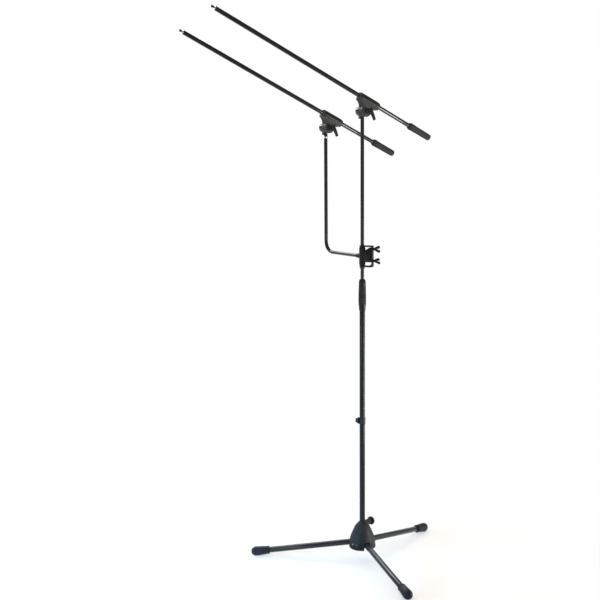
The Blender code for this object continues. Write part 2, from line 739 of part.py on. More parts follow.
# Plan of the clip: the ring's circle runs into the hook's, which goes round to its mouth and back inside
meet = (hook_centre**2 + clip_ring**2 - CLIP_HOOK_RADIUS**2) / (2 * hook_centre)
ring_angle = math.degrees(math.acos(meet / clip_ring))
hook_angle = 180 - math.degrees(math.acos((hook_centre - meet) / CLIP_HOOK_RADIUS))
mouth_outer = math.degrees(math.asin(CLIP_MOUTH / 2 / CLIP_HOOK_RADIUS))
mouth_inner = math.degrees(math.asin(CLIP_MOUTH / 2 / CLIP_HOOK_BORE))
hook_at = (hook_centre, 0)
clip_outline = (
    arc((0, 0), clip_ring, ring_angle, 360 - ring_angle, 26)
    + arc(hook_at, CLIP_HOOK_RADIUS, -hook_angle, CLIP_MOUTH_ANGLE - mouth_outer, 4)[1:]
    + arc(
        hook_at,
        CLIP_HOOK_BORE,
        CLIP_MOUTH_ANGLE - mouth_inner,
        CLIP_MOUTH_ANGLE + mouth_inner - 360,
        16,
    )
    + arc(hook_at, CLIP_HOOK_RADIUS, CLIP_MOUTH_ANGLE + mouth_outer, hook_angle, 10)[:-1]
)
clip = place(
    mesh_of("cable_clip", prism(clip_outline, 0, CLIP_LENGTH), moulded_black),
    "cable_clip",
    clip_axis,
)
combine(
    clip,
    cutter(
        "clip_tube_cut",
        rod(LOWER_TUBE_RADIUS + FIT_GAP, -5 * MM, CLIP_LENGTH + 5 * MM, ROUND_TUBE),
        clip_axis,
    ),
)
slant_turn = Matrix.Rotation(math.radians(90), 4, "X")
below = [
    (clip_ring - 1 * MM, -1 * MM),
    (CLIP_REACH - 3 * MM, CLIP_SLANT_RISE),
    (CLIP_REACH + 5 * MM, CLIP_SLANT_RISE),
    (CLIP_REACH + 5 * MM, -5 * MM),
    (clip_ring - 1 * MM, -5 * MM),
]
above = [
    (clip_ring - 1 * MM, CLIP_LENGTH + 5 * MM),
    (CLIP_REACH + 5 * MM, CLIP_LENGTH + 5 * MM),
    (CLIP_REACH + 5 * MM, CLIP_LENGTH - 2 * CLIP_SLANT_DROP),
    (CLIP_REACH - 4 * MM, CLIP_LENGTH - CLIP_SLANT_DROP),
    (clip_ring - 1 * MM, CLIP_LENGTH + 0.5 * MM),
]
for name, outline in (("clip_lower_cut", below), ("clip_upper_cut", above)):
    wedge = prism(outline, -2 * CLIP_HOOK_RADIUS, 2 * CLIP_HOOK_RADIUS)
    combine(clip, cutter(name, wedge, clip_axis, turned_by=slant_turn))

# Arm bracket: a bent strip with two eyes on the upper tube and a web that holds the screws
arm_height = clutch_top + ARM_RISE
yoke_bottom = arm_height - YOKE_DROP
yoke_axis = axis_empty("yoke_axis", mast, (0, 0, -UPPER_TUBE_BOTTOM), (0, 0, YOKE_AZIMUTH))
yoke_top = yoke_bottom + YOKE_HEIGHT
eye_bore = UPPER_TUBE_RADIUS + FIT_GAP
web_inner = YOKE_REACH - YOKE_WEB
yoke_corner = 3 * MM
yoke_side = (
    [(-2 * YOKE_EYE_RADIUS, yoke_bottom)]
    + arc((YOKE_REACH - yoke_corner, yoke_bottom + yoke_corner), yoke_corner, -90, 0, 3)
    + arc((YOKE_REACH - yoke_corner, yoke_top - yoke_corner), yoke_corner, 0, 90, 3)
    + [
        (-2 * YOKE_EYE_RADIUS, yoke_top),
        (-2 * YOKE_EYE_RADIUS, yoke_top - YOKE_PLATE),
        (web_inner, yoke_top - YOKE_PLATE),
        (web_inner, yoke_bottom + YOKE_PLATE + YOKE_GUSSET),
        (web_inner - YOKE_GUSSET, yoke_bottom + YOKE_PLATE),
        (-2 * YOKE_EYE_RADIUS, yoke_bottom + YOKE_PLATE),
    ]
)
yoke = place(
    mesh_of("arm_yoke", prism(yoke_side, -YOKE_WIDTH, YOKE_WIDTH), cast_black, slot_turn),
    "arm_yoke",
    yoke_axis,
)
plan = prism(
    link_outline(YOKE_EYE_RADIUS, YOKE_WIDTH / 2, YOKE_REACH + YOKE_WIDTH, 12),
    yoke_bottom - 5 * MM,
    yoke_top + 5 * MM,
)
combine(yoke, cutter("yoke_plan_form", plan, yoke_axis), "INTERSECT")
combine(
    yoke,
    cutter(
        "yoke_eye_cut",
        rod(eye_bore, yoke_bottom + YOKE_HEIGHT / 2, yoke_top + 5 * MM, ROUND_TUBE),
        yoke_axis,
    ),
)
liner_spigot = eye_bore + LINER_WALL
combine(
    yoke,
    cutter(
        "yoke_liner_cut",
        rod(liner_spigot + FIT_GAP, yoke_bottom - 5 * MM, yoke_bottom + YOKE_HEIGHT / 2, ROUND_TUBE),
        yoke_axis,
    ),
)
screw_hole = WING_SCREW_RADIUS + FIT_GAP
wing_heights = [arm_height + offset for offset in WING_SCREW_OFFSETS]
for number, height in enumerate(wing_heights, 1):
    hole = rod(screw_hole, web_inner - 3 * MM, YOKE_REACH + 5 * MM, ROUND_SMALL)
    combine(
        yoke,
        cutter(f"web_hole_cut_{number}", hole, yoke_axis, (0, 0, height), turned_by=TURN_X),
    )

# Conical liner under the lower eye
liner_profile = [
    (eye_bore, yoke_bottom - LINER_LENGTH - TOUCH_GAP),
    (eye_bore + 1.2 * MM, yoke_bottom - LINER_LENGTH - TOUCH_GAP),
    (YOKE_EYE_RADIUS - 0.7 * MM, yoke_bottom - TOUCH_GAP),
    (liner_spigot, yoke_bottom - TOUCH_GAP),
    (liner_spigot, yoke_bottom + YOKE_PLATE - TOUCH_GAP),
    (eye_bore, yoke_bottom + YOKE_PLATE - TOUCH_GAP),
]
place(
    mesh_of("arm_liner", turned(liner_profile, ROUND_TUBE, closed=True), moulded_black),
    "arm_liner",
    yoke_axis,
)

# Jaw between the web and the arm's sleeve, with threaded sockets for both wing screws
jaw_axis = axis_empty("jaw_axis", yoke_axis)
jaw_back = web_inner - JAW_TRAVEL_GAP
jaw_bottom = arm_height - JAW_DROP
jaw_top = jaw_bottom + JAW_HEIGHT
jaw_side = [
    (SLEEVE_RADIUS / 2, jaw_bottom),
    (jaw_back, jaw_bottom),
    (jaw_back, jaw_top + JAW_FLARE),
    (jaw_back - JAW_FLARE * 0.7, jaw_top + JAW_FLARE),
    (SLEEVE_RADIUS, jaw_top),
    (SLEEVE_RADIUS / 2, jaw_top),
]
jaw_shape = prism(jaw_side, -JAW_WIDTH / 2, JAW_WIDTH / 2, 1 * MM, both=True)
jaw = place(mesh_of("arm_jaw", jaw_shape, moulded_black, slot_turn), "arm_jaw", jaw_axis)
combine(
    jaw,
    cutter(
        "jaw_face_cut",
        rod(
            SLEEVE_RADIUS + TOUCH_GAP,
            jaw_bottom - 5 * MM,
            jaw_top + 5 * MM,
            ROUND_DISC,
        ),
        jaw_axis,
    ),
)
for number, height in enumerate(wing_heights, 1):
    socket = rod(screw_hole, WING_SCREW_TIP - WING_SCREW_SPARE, jaw_back + 5 * MM, ROUND_SMALL)
    combine(
        jaw,
        cutter(f"jaw_socket_cut_{number}", socket, jaw_axis, (0, 0, height), turned_by=TURN_X),
    )

# Wing screws: a shank, a round hub, and two lobes that spread like a V
wing_start = YOKE_REACH + TOUCH_GAP
wing_axes = []
for number, (height, angle) in enumerate(zip(wing_heights, WING_SCREW_ANGLES), 1):
    wing_axis = axis_empty(f"wing_axis_{number}", yoke_axis, (0, 0, height), (angle, 0, 0))
    wing_profile = [
        (0, WING_SCREW_TIP),
        (WING_SCREW_RADIUS - 0.6 * MM, WING_SCREW_TIP),
        (WING_SCREW_RADIUS, WING_SCREW_TIP + 0.6 * MM),
        (WING_SCREW_RADIUS, wing_start),
        (WING_HUB_RADIUS, wing_start),
        (WING_HUB_RADIUS, wing_start + WING_HUB_LENGTH - 1 * MM),
        (WING_HUB_RADIUS - 1 * MM, wing_start + WING_HUB_LENGTH),
        (0, wing_start + WING_HUB_LENGTH),
    ]
    screw = place(
        mesh_of("wing_screw", turned(wing_profile, ROUND_SMALL), cast_black, TURN_X),
        f"wing_screw_{number}",
        wing_axis,
    )
    root = wing_start + WING_HUB_LENGTH * 0.45
    lobe_distance = wing_start + WING_REACH - WING_LOBE_RADIUS - root
    spread = math.degrees(math.atan2(WING_HALF_SPAN, lobe_distance))
    for side in (1, -1):
        lobe = prism(
            link_outline(
                0.5 * WING_LOBE_RADIUS,
                WING_LOBE_RADIUS,
                math.hypot(lobe_distance, WING_HALF_SPAN),
                7,
            ),
            -WING_THICKNESS / 2,
            WING_THICKNESS / 2,
            0.5 * MM,
            both=True,
        )
        combine(
            screw,
            cutter(
                f"wing_lobe_form_{number}_{'upper' if side > 0 else 'lower'}",
                lobe,
                wing_axis,
                (root, 0, side * 0.6 * MM),
                (0, -side * spread, 0),
                slot_turn,
            ),
            "UNION",
        )

# Sleeve of the arm, which turns on the upper tube between the bracket's eyes
arm_axis = axis_empty("arm_axis", yoke_axis, turn=(0, 0, -YOKE_AZIMUTH))
sleeve_low = yoke_bottom + YOKE_PLATE + TOUCH_GAP
sleeve_high = yoke_top - YOKE_PLATE - TOUCH_GAP
sleeve_profile = [
    (0, sleeve_low),
    (SLEEVE_RADIUS - 1.9 * MM, sleeve_low),
    (SLEEVE_RADIUS, sleeve_low + SLEEVE_CHAMFER),
    (SLEEVE_RADIUS, sleeve_high - SLEEVE_CHAMFER),
    (SLEEVE_RADIUS - 1.9 * MM, sleeve_high),
    (0, sleeve_high),
]
sleeve = place(
    mesh_of("arm_sleeve", turned(sleeve_profile, ROUND_DISC), moulded_black), "arm_sleeve", arm_axis
)
arm_boss_profile = [
    (0, 0),
    (ARM_BOSS_RADIUS, 0),
    (ARM_BOSS_RADIUS, ARM_BOSS_REACH - 1 * MM),
    (ARM_BOSS_RADIUS - 0.8 * MM, ARM_BOSS_REACH),
    (0, ARM_BOSS_REACH),
]
away = Matrix.Rotation(math.radians(90), 4, "X")
combine(
    sleeve,
    cutter(
        "arm_boss_form",
        turned(arm_boss_profile, ROUND_TUBE),
        arm_axis,
        (0, 0, arm_height),
        turned_by=away,
    ),
    "UNION",
)
combine(
    sleeve,
    cutter(
        "sleeve_bore_cut",
        rod(eye_bore, sleeve_low - 5 * MM, sleeve_high + 5 * MM, ROUND_TUBE),
        arm_axis,
    ),
)
socket_start = ARM_BOSS_REACH - ARM_BOSS_DEPTH
arm_socket = rod(
    ARM_TUBE_RADIUS + FIT_GAP, socket_start, ARM_BOSS_REACH + 5 * MM, ROUND_TUBE
)
combine(
    sleeve,
    cutter("arm_socket_cut", arm_socket, arm_axis, (0, 0, arm_height), turned_by=away),
)

# Bent arm tube, and the nickel ring on its upper end
arm_start = socket_start + TOUCH_GAP
arm_run = ARM_SPREAD - ARM_BEND_RADIUS - arm_start
ring_top = HEAD_HEIGHTS[1] - HEAD_DROP - TOUCH_GAP
arm_top = ring_top - ARM_RING_LENGTH - TOUCH_GAP
arm_rise = arm_top - arm_height - ARM_BEND_RADIUS
arm_bore = ARM_TUBE_RADIUS - ARM_TUBE_WALL
place(
    mesh_of(
        "arm_tube",
        bent_tube(ARM_TUBE_RADIUS, arm_bore, arm_run, ARM_BEND_RADIUS, arm_rise, 8, ROUND_SMALL),
        tube_black,
    ),
    "arm_tube",
    arm_axis,
    (0, -arm_start, arm_height),
    (0, 0, -90),
)
ring_low = arm_top + TOUCH_GAP
ring_profile = [
    (arm_bore, ring_low),
    (ARM_RING_RADIUS - 0.4 * MM, ring_low),
    (ARM_RING_RADIUS, ring_low + 0.6 * MM),
    (ARM_RING_RADIUS, ring_low + ARM_RING_LENGTH - 0.6 * MM),
    (ARM_RING_RADIUS - 0.4 * MM, ring_low + ARM_RING_LENGTH),
    (arm_bore, ring_low + ARM_RING_LENGTH),
]
place(
    mesh_of("arm_lock_ring", turned(ring_profile, ROUND_TUBE, closed=True), bright_nickel),
    "arm_lock_ring",
    arm_axis,
    (0, -ARM_SPREAD, 0),
)

# Boom head meshes, in the frame of the tilt axis
disc_far = DISC_NEAR + DISC_THICKNESS
disc_profile = [
    (0, -disc_far),
    (DISC_RADIUS - 2.4 * MM, -disc_far),
    (DISC_RADIUS - 0.6 * MM, -disc_far + 1.2 * MM),
    (DISC_RADIUS, -disc_far + 3 * MM),
    (DISC_RADIUS, -DISC_NEAR - 0.5 * MM),
    (DISC_RADIUS - 0.5 * MM, -DISC_NEAR),
    (0, -DISC_NEAR),
]
disc_mesh = mesh_of("swivel_base", turned(disc_profile, ROUND_DISC), cast_black, TURN_Y)
bolt_hole = BOLT_RADIUS + FIT_GAP
neck_shape = block(
    (-COLLAR_RADIUS, -disc_far + 5 * MM, -HEAD_DROP + 5 * MM),
    (COLLAR_RADIUS, -DISC_NEAR - 0.3 * MM, -DISC_RADIUS / 2),
)
neck_mesh = mesh_of("neck_form", neck_shape)
collar_profile = [
    (0, -HEAD_DROP - SPIGOT_LENGTH),
    (SPIGOT_RADIUS - 0.8 * MM, -HEAD_DROP - SPIGOT_LENGTH),
    (SPIGOT_RADIUS, -HEAD_DROP - SPIGOT_LENGTH + 0.8 * MM),
    (SPIGOT_RADIUS, -HEAD_DROP),
    (COLLAR_RADIUS, -HEAD_DROP),
    (COLLAR_RADIUS, -COLLAR_TOP - 1 * MM),
    (COLLAR_RADIUS - 1 * MM, -COLLAR_TOP),
    (0, -COLLAR_TOP),
]
collar_mesh = mesh_of("collar_form", turned(collar_profile, ROUND_SMALL))
bolt_cut_mesh = mesh_of(
    "bolt_cut", rod(bolt_hole, -disc_far - 5 * MM, 80 * MM, ROUND_SMALL), None, TURN_Y
)
washer_half = DISC_NEAR - TOUCH_GAP
washer_mesh = mesh_of(
    "friction_washer",
    ring(bolt_hole, WASHER_RADIUS, -washer_half, washer_half, ROUND_DISC),
    soft_black,
    TURN_Y,
)
cap_low = -disc_far - TOUCH_GAP - BOLT_CAP_HEIGHT
bolt_profile = [
    (0, cap_low),
    (BOLT_CAP_RADIUS * 0.45, cap_low + 0.3 * MM),
    (BOLT_CAP_RADIUS * 0.75, cap_low + 1.5 * MM),
    (BOLT_CAP_RADIUS * 0.94, cap_low + 3.4 * MM),
    (BOLT_CAP_RADIUS, -disc_far - TOUCH_GAP),
    (BOLT_RADIUS, -disc_far - TOUCH_GAP),
    (BOLT_RADIUS, BOLT_LENGTH - disc_far - 0.6 * MM),
    (BOLT_RADIUS - 0.6 * MM, BOLT_LENGTH - disc_far),
    (0, BOLT_LENGTH - disc_far),
]
bolt_mesh = mesh_of("pivot_bolt", turned(bolt_profile, ROUND_SMALL), cast_black, TURN_Y)

# Clamp halves: an ear round the bolt widens into the sleeve that holds the boom
ear_near = DISC_NEAR
ear_far = ear_near + EAR_THICKNESS
split_low = BOOM_PLANE - SPLIT_GAP / 2
split_high = BOOM_PLANE + SPLIT_GAP / 2
sleeve_half = BOOM_SLEEVE_LENGTH / 2
sleeve_bottom = BOOM_OFFSET - BOOM_SLEEVE_RADIUS
inside = BOOM_OFFSET - 6 * MM
ear_outline = (
    [(sleeve_half - 4 * MM, inside)]
    + curve_between(
        (sleeve_half - 3 * MM, sleeve_bottom + 1.5 * MM),
        (EAR_RADIUS + 4 * MM, sleeve_bottom * 0.75),
        (EAR_RADIUS * math.cos(math.radians(14)), EAR_RADIUS * math.sin(math.radians(14))),
        6,
    )
    + arc((0, 0), EAR_RADIUS, 2, -182, 14)
    + curve_between(
        (-EAR_RADIUS * math.cos(math.radians(14)), EAR_RADIUS * math.sin(math.radians(14))),
        (-EAR_RADIUS - 2 * MM, sleeve_bottom * 0.72),
        (-sleeve_half + 17 * MM, sleeve_bottom - 2.5 * MM),
        5,
    )
    + [
        (-sleeve_half + 11 * MM, sleeve_bottom - 3.4 * MM),
        (-sleeve_half + 5 * MM, sleeve_bottom - 2 * MM),
        (-sleeve_half + 2.5 * MM, sleeve_bottom + 2 * MM),
        (-sleeve_half + 3.5 * MM, inside),
    ]
)
# The outline is drawn in X and Z, so its extrusion is turned to run along Y
to_side = Matrix.Rotation(math.radians(90), 4, "X")
inner_mesh = mesh_of(
    "boom_clamp_inner",
    prism(ear_outline, -split_low, -ear_near, 0.8 * MM),
    moulded_black,
    to_side,
)
flipped = [(x, -z) for x, z in ear_outline]
outer_mesh = mesh_of(
    "boom_clamp_outer",
    prism(flipped, split_high, ear_far, EAR_EDGE, rounds=2),
    moulded_black,
    TURN_Y,
)
clamp_profile = [
    (0, -sleeve_half),
    (BOOM_SLEEVE_RADIUS - 3.6 * MM, -sleeve_half),
    (BOOM_SLEEVE_RADIUS - 1.6 * MM, -sleeve_half + 1.6 * MM),
    (BOOM_SLEEVE_RADIUS - 0.4 * MM, -sleeve_half + 6 * MM),
    (BOOM_SLEEVE_RADIUS, -sleeve_half + 14 * MM),
    (BOOM_SLEEVE_RADIUS, sleeve_half - 14 * MM),
    (BOOM_SLEEVE_RADIUS - 0.6 * MM, sleeve_half - 5.5 * MM),
    (BOOM_SLEEVE_RADIUS - 2 * MM, sleeve_half - 1.4 * MM),
    (BOOM_SLEEVE_RADIUS - 3.8 * MM, sleeve_half),
    (0, sleeve_half),
]
sleeve_form_mesh = mesh_of("boom_sleeve_form", turned(clamp_profile, ROUND_TUBE), None, TURN_X)
boom_hole = BOOM_RADIUS + FIT_GAP
boom_cut_mesh = mesh_of(
    "boom_cut",
    rod(boom_hole, -sleeve_half - 5 * MM, sleeve_half + 5 * MM, ROUND_TUBE),
    None,
    TURN_X,
)
wide = 2 * BOOM_SLEEVE_LENGTH
outer_keep_mesh = mesh_of(
    "outer_keep", block((-wide, split_high, -wide), (wide, split_high + wide, wide))
)
inner_keep_mesh = mesh_of(
    "inner_keep", block((-wide, split_low - wide, -wide), (wide, split_low, wide))
)

# Clamping lever: a hub with a recess, a bridge below it, and the handle in front
lever_start = ear_far + TOUCH_GAP
lever_front = lever_start + LEVER_HUB_LENGTH
lever_profile = [
    (bolt_hole, lever_start),
    (LEVER_HUB_RADIUS - 0.6 * MM, lever_start),
    (LEVER_HUB_RADIUS, lever_start + 0.8 * MM),
    (LEVER_HUB_RADIUS - 0.8 * MM, lever_front - 1.2 * MM),
    (LEVER_HUB_RADIUS - 1.8 * MM, lever_front),
    (LEVER_RECESS_RADIUS, lever_front),
    (LEVER_RECESS_RADIUS, lever_front - LEVER_RECESS_DEPTH),
    (bolt_hole, lever_front - LEVER_RECESS_DEPTH),
]
lever_mesh = mesh_of(
    "clamp_lever", turned(lever_profile, ROUND_SMALL, closed=True), moulded_black, TURN_Y
)
handle_side = [
    (lever_front - 4 * MM, -bolt_hole - 0.3 * MM),
    (lever_front - 4 * MM, -LEVER_HUB_RADIUS + 1 * MM),
    (lever_front + 3.5 * MM, -LEVER_HUB_RADIUS - 2.5 * MM),
    (lever_front + 7.5 * MM, -LEVER_DROP * 0.6),
    (lever_front + 9.5 * MM, -LEVER_DROP + 1.5 * MM),
    (lever_front + 12 * MM, -LEVER_DROP),
    (lever_front + 14.2 * MM, -LEVER_DROP + 2.2 * MM),
    (lever_front + 13.5 * MM, -LEVER_DROP * 0.5),
    (lever_front + 10.8 * MM, 3 * MM),
    (lever_front + 9 * MM, LEVER_RISE - 1 * MM),
    (lever_front + 6.5 * MM, LEVER_RISE),
    (lever_front + 4.2 * MM, LEVER_RISE - 1.6 * MM),
    (lever_front + 3.6 * MM, 3 * MM),
    (lever_front + 3 * MM, -bolt_hole - 0.3 * MM),
]
# Drawn in Y and Z, and pulled out along X
to_front = Matrix(((0, 0, 1, 0), (1, 0, 0, 0), (0, 1, 0, 0), (0, 0, 0, 1)))
handle_mesh = mesh_of(
    "lever_handle_form",
    prism(handle_side, -LEVER_WIDTH / 2, LEVER_WIDTH / 2, 1 * MM, both=True),
    None,
    to_front,
)

# Boom meshes, along X with the clamp's middle at zero
boom_bore = BOOM_RADIUS - BOOM_WALL
boom_mesh = mesh_of(
    "boom_tube", ring(boom_bore, BOOM_RADIUS, -BOOM_REAR, BOOM_FRONT, ROUND_TUBE), tube_black, TURN_X
)
shoulder = BOOM_FRONT + TOUCH_GAP
stud_start = shoulder + STUD_SHOULDER
stud_end = stud_start + STUD_LENGTH
spigot = boom_bore - FIT_GAP
stud_profile = [
    (0, shoulder - STUD_SPIGOT_LENGTH),
    (spigot - 0.8 * MM, shoulder - STUD_SPIGOT_LENGTH),
    (spigot, shoulder - STUD_SPIGOT_LENGTH + 0.8 * MM),
    (spigot, shoulder),
    (STUD_SHOULDER_RADIUS, shoulder),
    (STUD_SHOULDER_RADIUS, stud_start),
    (STUD_RADIUS, stud_start),
    (STUD_RADIUS, stud_end - 0.8 * MM),
    (STUD_RADIUS - 0.6 * MM, stud_end),
    (STUD_RECESS_RADIUS, stud_end),
    (STUD_RECESS_RADIUS, stud_end - STUD_RECESS_DEPTH),
    (0, stud_end - STUD_RECESS_DEPTH),
]
stud_mesh = mesh_of("mic_stud", turned(stud_profile, ROUND_SMALL), bright_nickel, TURN_X)
grip_rear = -BOOM_REAR - GRIP_END_WALL - TOUCH_GAP
grip_front = grip_rear + GRIP_LENGTH
boom_grip_profile = [
    (0, grip_rear),
    (GRIP_RADIUS * 0.62, grip_rear),
    (GRIP_RADIUS * 0.87, grip_rear + 1.4 * MM),
    (GRIP_RADIUS - 0.2 * MM, grip_rear + 4.4 * MM),
    (GRIP_RADIUS, grip_rear + 9 * MM),
    (GRIP_RADIUS + 0.3 * MM, grip_rear + GRIP_LENGTH * 0.6),
    (GRIP_SHOULDER_RADIUS - 0.2 * MM, grip_front - 12 * MM),
    (GRIP_SHOULDER_RADIUS, grip_front - 8 * MM),
    (GRIP_SHOULDER_RADIUS - 0.8 * MM, grip_front - 5.5 * MM),
    (GRIP_MOUTH_RADIUS, grip_front),
    (boom_hole, grip_front),
    (boom_hole, grip_rear + GRIP_END_WALL),
    (0, grip_rear + GRIP_END_WALL),
]
boom_grip_mesh = mesh_of("boom_grip", turned(boom_grip_profile, ROUND_TUBE), soft_black, TURN_X)


def hidden(mesh, name, parent, location=(0, 0, 0)):
    obj = place(mesh, name, parent, location)
    obj.hide_render = True
    obj.display_type = "WIRE"
    return obj


# Both heads with their booms: one on the upper column, one on the arm
head_seats = (
    ("a", mast, (0, 0, HEAD_HEIGHTS[0] - UPPER_TUBE_BOTTOM)),
    ("b", arm_axis, (0, -ARM_SPREAD, HEAD_HEIGHTS[1])),
)
for (letter, carrier, seat), slide in zip(head_seats, BOOM_SLIDES):
    head = axis_empty(f"head_axis_{letter}", carrier, seat)
    swivel = place(disc_mesh, f"swivel_base_{letter}", head)
    combine(swivel, hidden(neck_mesh, f"neck_form_{letter}", head), "UNION")
    combine(swivel, hidden(collar_mesh, f"collar_form_{letter}", head), "UNION")
    head_bolt_cut = hidden(bolt_cut_mesh, f"head_bolt_cut_{letter}", head)
    combine(swivel, head_bolt_cut)
    place(washer_mesh, f"friction_washer_{letter}", head)
    place(bolt_mesh, f"pivot_bolt_{letter}", head)

    tilt = axis_empty(f"tilt_axis_{letter}", head, turn=(0, -BOOM_ELEVATION, 0))
    boom_line = (0, BOOM_PLANE, BOOM_OFFSET)
    sleeve_form = hidden(sleeve_form_mesh, f"boom_sleeve_form_{letter}", tilt, boom_line)
    boom_cut = hidden(boom_cut_mesh, f"boom_cut_{letter}", tilt, boom_line)
    for half, mesh, keep_mesh in (
        ("inner", inner_mesh, inner_keep_mesh),
        ("outer", outer_mesh, outer_keep_mesh),
    ):
        clamp = place(mesh, f"boom_clamp_{half}_{letter}", tilt)
        combine(clamp, sleeve_form, "UNION")
        combine(clamp, hidden(keep_mesh, f"{half}_keep_{letter}", tilt), "INTERSECT")
        combine(clamp, boom_cut)
        combine(clamp, head_bolt_cut)

    lever_axis = axis_empty(f"lever_axis_{letter}", head, turn=(0, LEVER_LEAN, 0))
    lever = place(lever_mesh, f"clamp_lever_{letter}", lever_axis)
    combine(lever, hidden(handle_mesh, f"lever_handle_form_{letter}", lever_axis), "UNION")

    boom = axis_empty(f"boom_axis_{letter}", tilt, boom_line)
    place(boom_mesh, f"boom_tube_{letter}", boom, (slide, 0, 0))
    place(stud_mesh, f"mic_stud_{letter}", boom, (slide, 0, 0))
    place(boom_grip_mesh, f"boom_grip_{letter}", boom, (slide, 0, 0))
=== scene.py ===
import json
import math

import bmesh
import bpy
from mathutils import Matrix, Vector


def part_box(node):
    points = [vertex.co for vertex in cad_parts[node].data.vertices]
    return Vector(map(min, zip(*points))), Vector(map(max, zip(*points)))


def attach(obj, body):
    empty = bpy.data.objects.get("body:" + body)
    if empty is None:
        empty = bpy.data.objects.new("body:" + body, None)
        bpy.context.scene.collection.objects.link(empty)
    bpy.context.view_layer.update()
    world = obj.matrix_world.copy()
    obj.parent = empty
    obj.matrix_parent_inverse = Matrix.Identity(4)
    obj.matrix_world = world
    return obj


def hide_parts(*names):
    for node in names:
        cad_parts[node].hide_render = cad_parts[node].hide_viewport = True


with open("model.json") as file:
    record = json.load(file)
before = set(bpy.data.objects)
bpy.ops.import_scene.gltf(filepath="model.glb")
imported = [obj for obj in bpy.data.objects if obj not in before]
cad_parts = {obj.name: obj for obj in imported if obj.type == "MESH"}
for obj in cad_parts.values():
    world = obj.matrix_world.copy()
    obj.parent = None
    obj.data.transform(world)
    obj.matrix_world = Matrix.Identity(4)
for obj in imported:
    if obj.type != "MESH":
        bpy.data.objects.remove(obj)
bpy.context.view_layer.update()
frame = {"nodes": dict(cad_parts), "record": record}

mm = 0.001
bodyOf = {
    node: body
    for body, nodes in frame["record"]["behaviour"]["bodies"].items()
    for node in nodes
}
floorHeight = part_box("foot_boot_1")[0].z
print("frame loaded:", len(bodyOf), "nodes")


def addObject(name, data):
    added = bpy.data.objects.new(name, data)
    bpy.context.scene.collection.objects.link(added)
    return added


# Camera, at the place that the photograph was fitted to
cameraView = {
    "place": (2.6181, 3.2914, 1.5285),
    "turn": 141.53,
    "down": 8.2515,
    "lens": 71.4,
    "sensor": 36,
    "shift": -0.1028,
}
towardsCamera = Vector(cameraView["place"][:2]).normalized().to_3d()


def addCamera(view):
    optics = bpy.data.cameras.new("standCamera")
    optics.lens = view["lens"]
    optics.sensor_width = view["sensor"]
    optics.shift_x = view["shift"]
    camera = addObject("standCamera", optics)
    camera.location = view["place"]
    camera.rotation_euler = (math.radians(90 - view["down"]), 0, math.radians(view["turn"]))
    bpy.context.scene.camera = camera


addCamera(cameraView)

boomElevation = 24.4

# Softboxes: radiance is what a mirror would see in them, where 1 is white paper. Those that are
# seen by glossy rays only draw the bright lines on lacquer, and don't lift the colours. Their width
# is level, or lies along the booms.
softboxes = {
    "rightSoftbox": {
        "place": (-1.05, 1.45, 0.62),
        "aim": (0, 0, 0.75),
        "size": (0.8, 1.2),
        "radiance": 2.47,
        "colour": (1.0, 0.94, 0.84),
        "seenBy": "diffuse",
    },
    "edgeSoftbox": {
        "place": (-1.5, 1.0, 0.36),
        "aim": (0, 0, 0.9),
        "size": (0.9, 0.6),
        "radiance": 4.5,
        "colour": (1.0, 0.98, 0.94),
        "seenBy": "glossy",
    },
    "boomStrip": {
        "place": (-1.073, 1.43, 0.457),
        "aim": (-0.273, 0, 1.517),
        "size": (0.36, 1.3),
        "alongBooms": True,
        "radiance": 17.0,
        "colour": (1.0, 0.97, 0.95),
        "seenBy": "glossy",
    },
    "rearSoftbox": {
        "place": (-0.15, -1.9, 2.35),
        "aim": (0, 0, 0.7),
        "size": (1.2, 0.9),
        "radiance": 5.77,
        "colour": (1.0, 0.98, 0.96),
        "seenBy": "diffuse",
    },
    "ceilingSoftbox": {
        "place": (0.1, -1.8, 2.6),
        "aim": (0, 0, 1.0),
        "size": (2.2, 1.9),
        "radiance": 4.4,
        "colour": (0.9, 0.9, 1.0),
        "seenBy": "glossy",
    },
    "discSoftbox": {
        "place": (0.78, -1.75, 2.4),
        "aim": (0, -0.1, 1.56),
        "size": (0.4, 0.4),
        "radiance": 12.0,
        "colour": (0.9, 0.95, 1.0),
        "seenBy": "glossy",
    },
    "clutchSoftbox": {
        "place": (1.97, 0.35, 0.655),
        "aim": (0, 0, 0.93),
        "size": (0.7, 0.2),
        "radiance": 9.0,
        "colour": (0.92, 0.97, 1.0),
        "seenBy": "glossy",
    },
    "leftSoftbox": {
        "place": (1.9, -0.35, 0.35),
        "aim": (0.1, -0.1, 0.08),
        "size": (0.7, 0.4),
        "radiance": 8.25,
        "colour": (0.2, 0.55, 1.0),
        "seenBy": "diffuse",
        "spread": 50,
    },
}


def addSoftbox(name, box):
    lamp = bpy.data.lights.new(name, "AREA")
    lamp.shape = "RECTANGLE"
    lamp.size, lamp.size_y = box["size"]
    lamp.energy = box["radiance"] * math.pi * box["size"][0] * box["size"][1]
    lamp.color = box["colour"]
    lamp.spread = math.radians(box.get("spread", 180))
    softbox = addObject(name, lamp)
    back = (Vector(box["place"]) - Vector(box["aim"])).normalized()
    if box.get("alongBooms"):
        rise = math.radians(boomElevation)
        across = Vector((math.cos(rise), 0, math.sin(rise)))
    else:
        across = Vector((0, 0, 1)).cross(back)
    across = (across - back * across.dot(back)).normalized()
    turn = Matrix((across, back.cross(across), back)).transposed()
    softbox.matrix_world = Matrix.Translation(box["place"]) @ turn.to_4x4()
    softbox.visible_camera = False
    softbox.visible_diffuse = box["seenBy"] != "glossy"
    softbox.visible_glossy = box["seenBy"] != "diffuse"


for name, box in softboxes.items():
    addSoftbox(name, box)


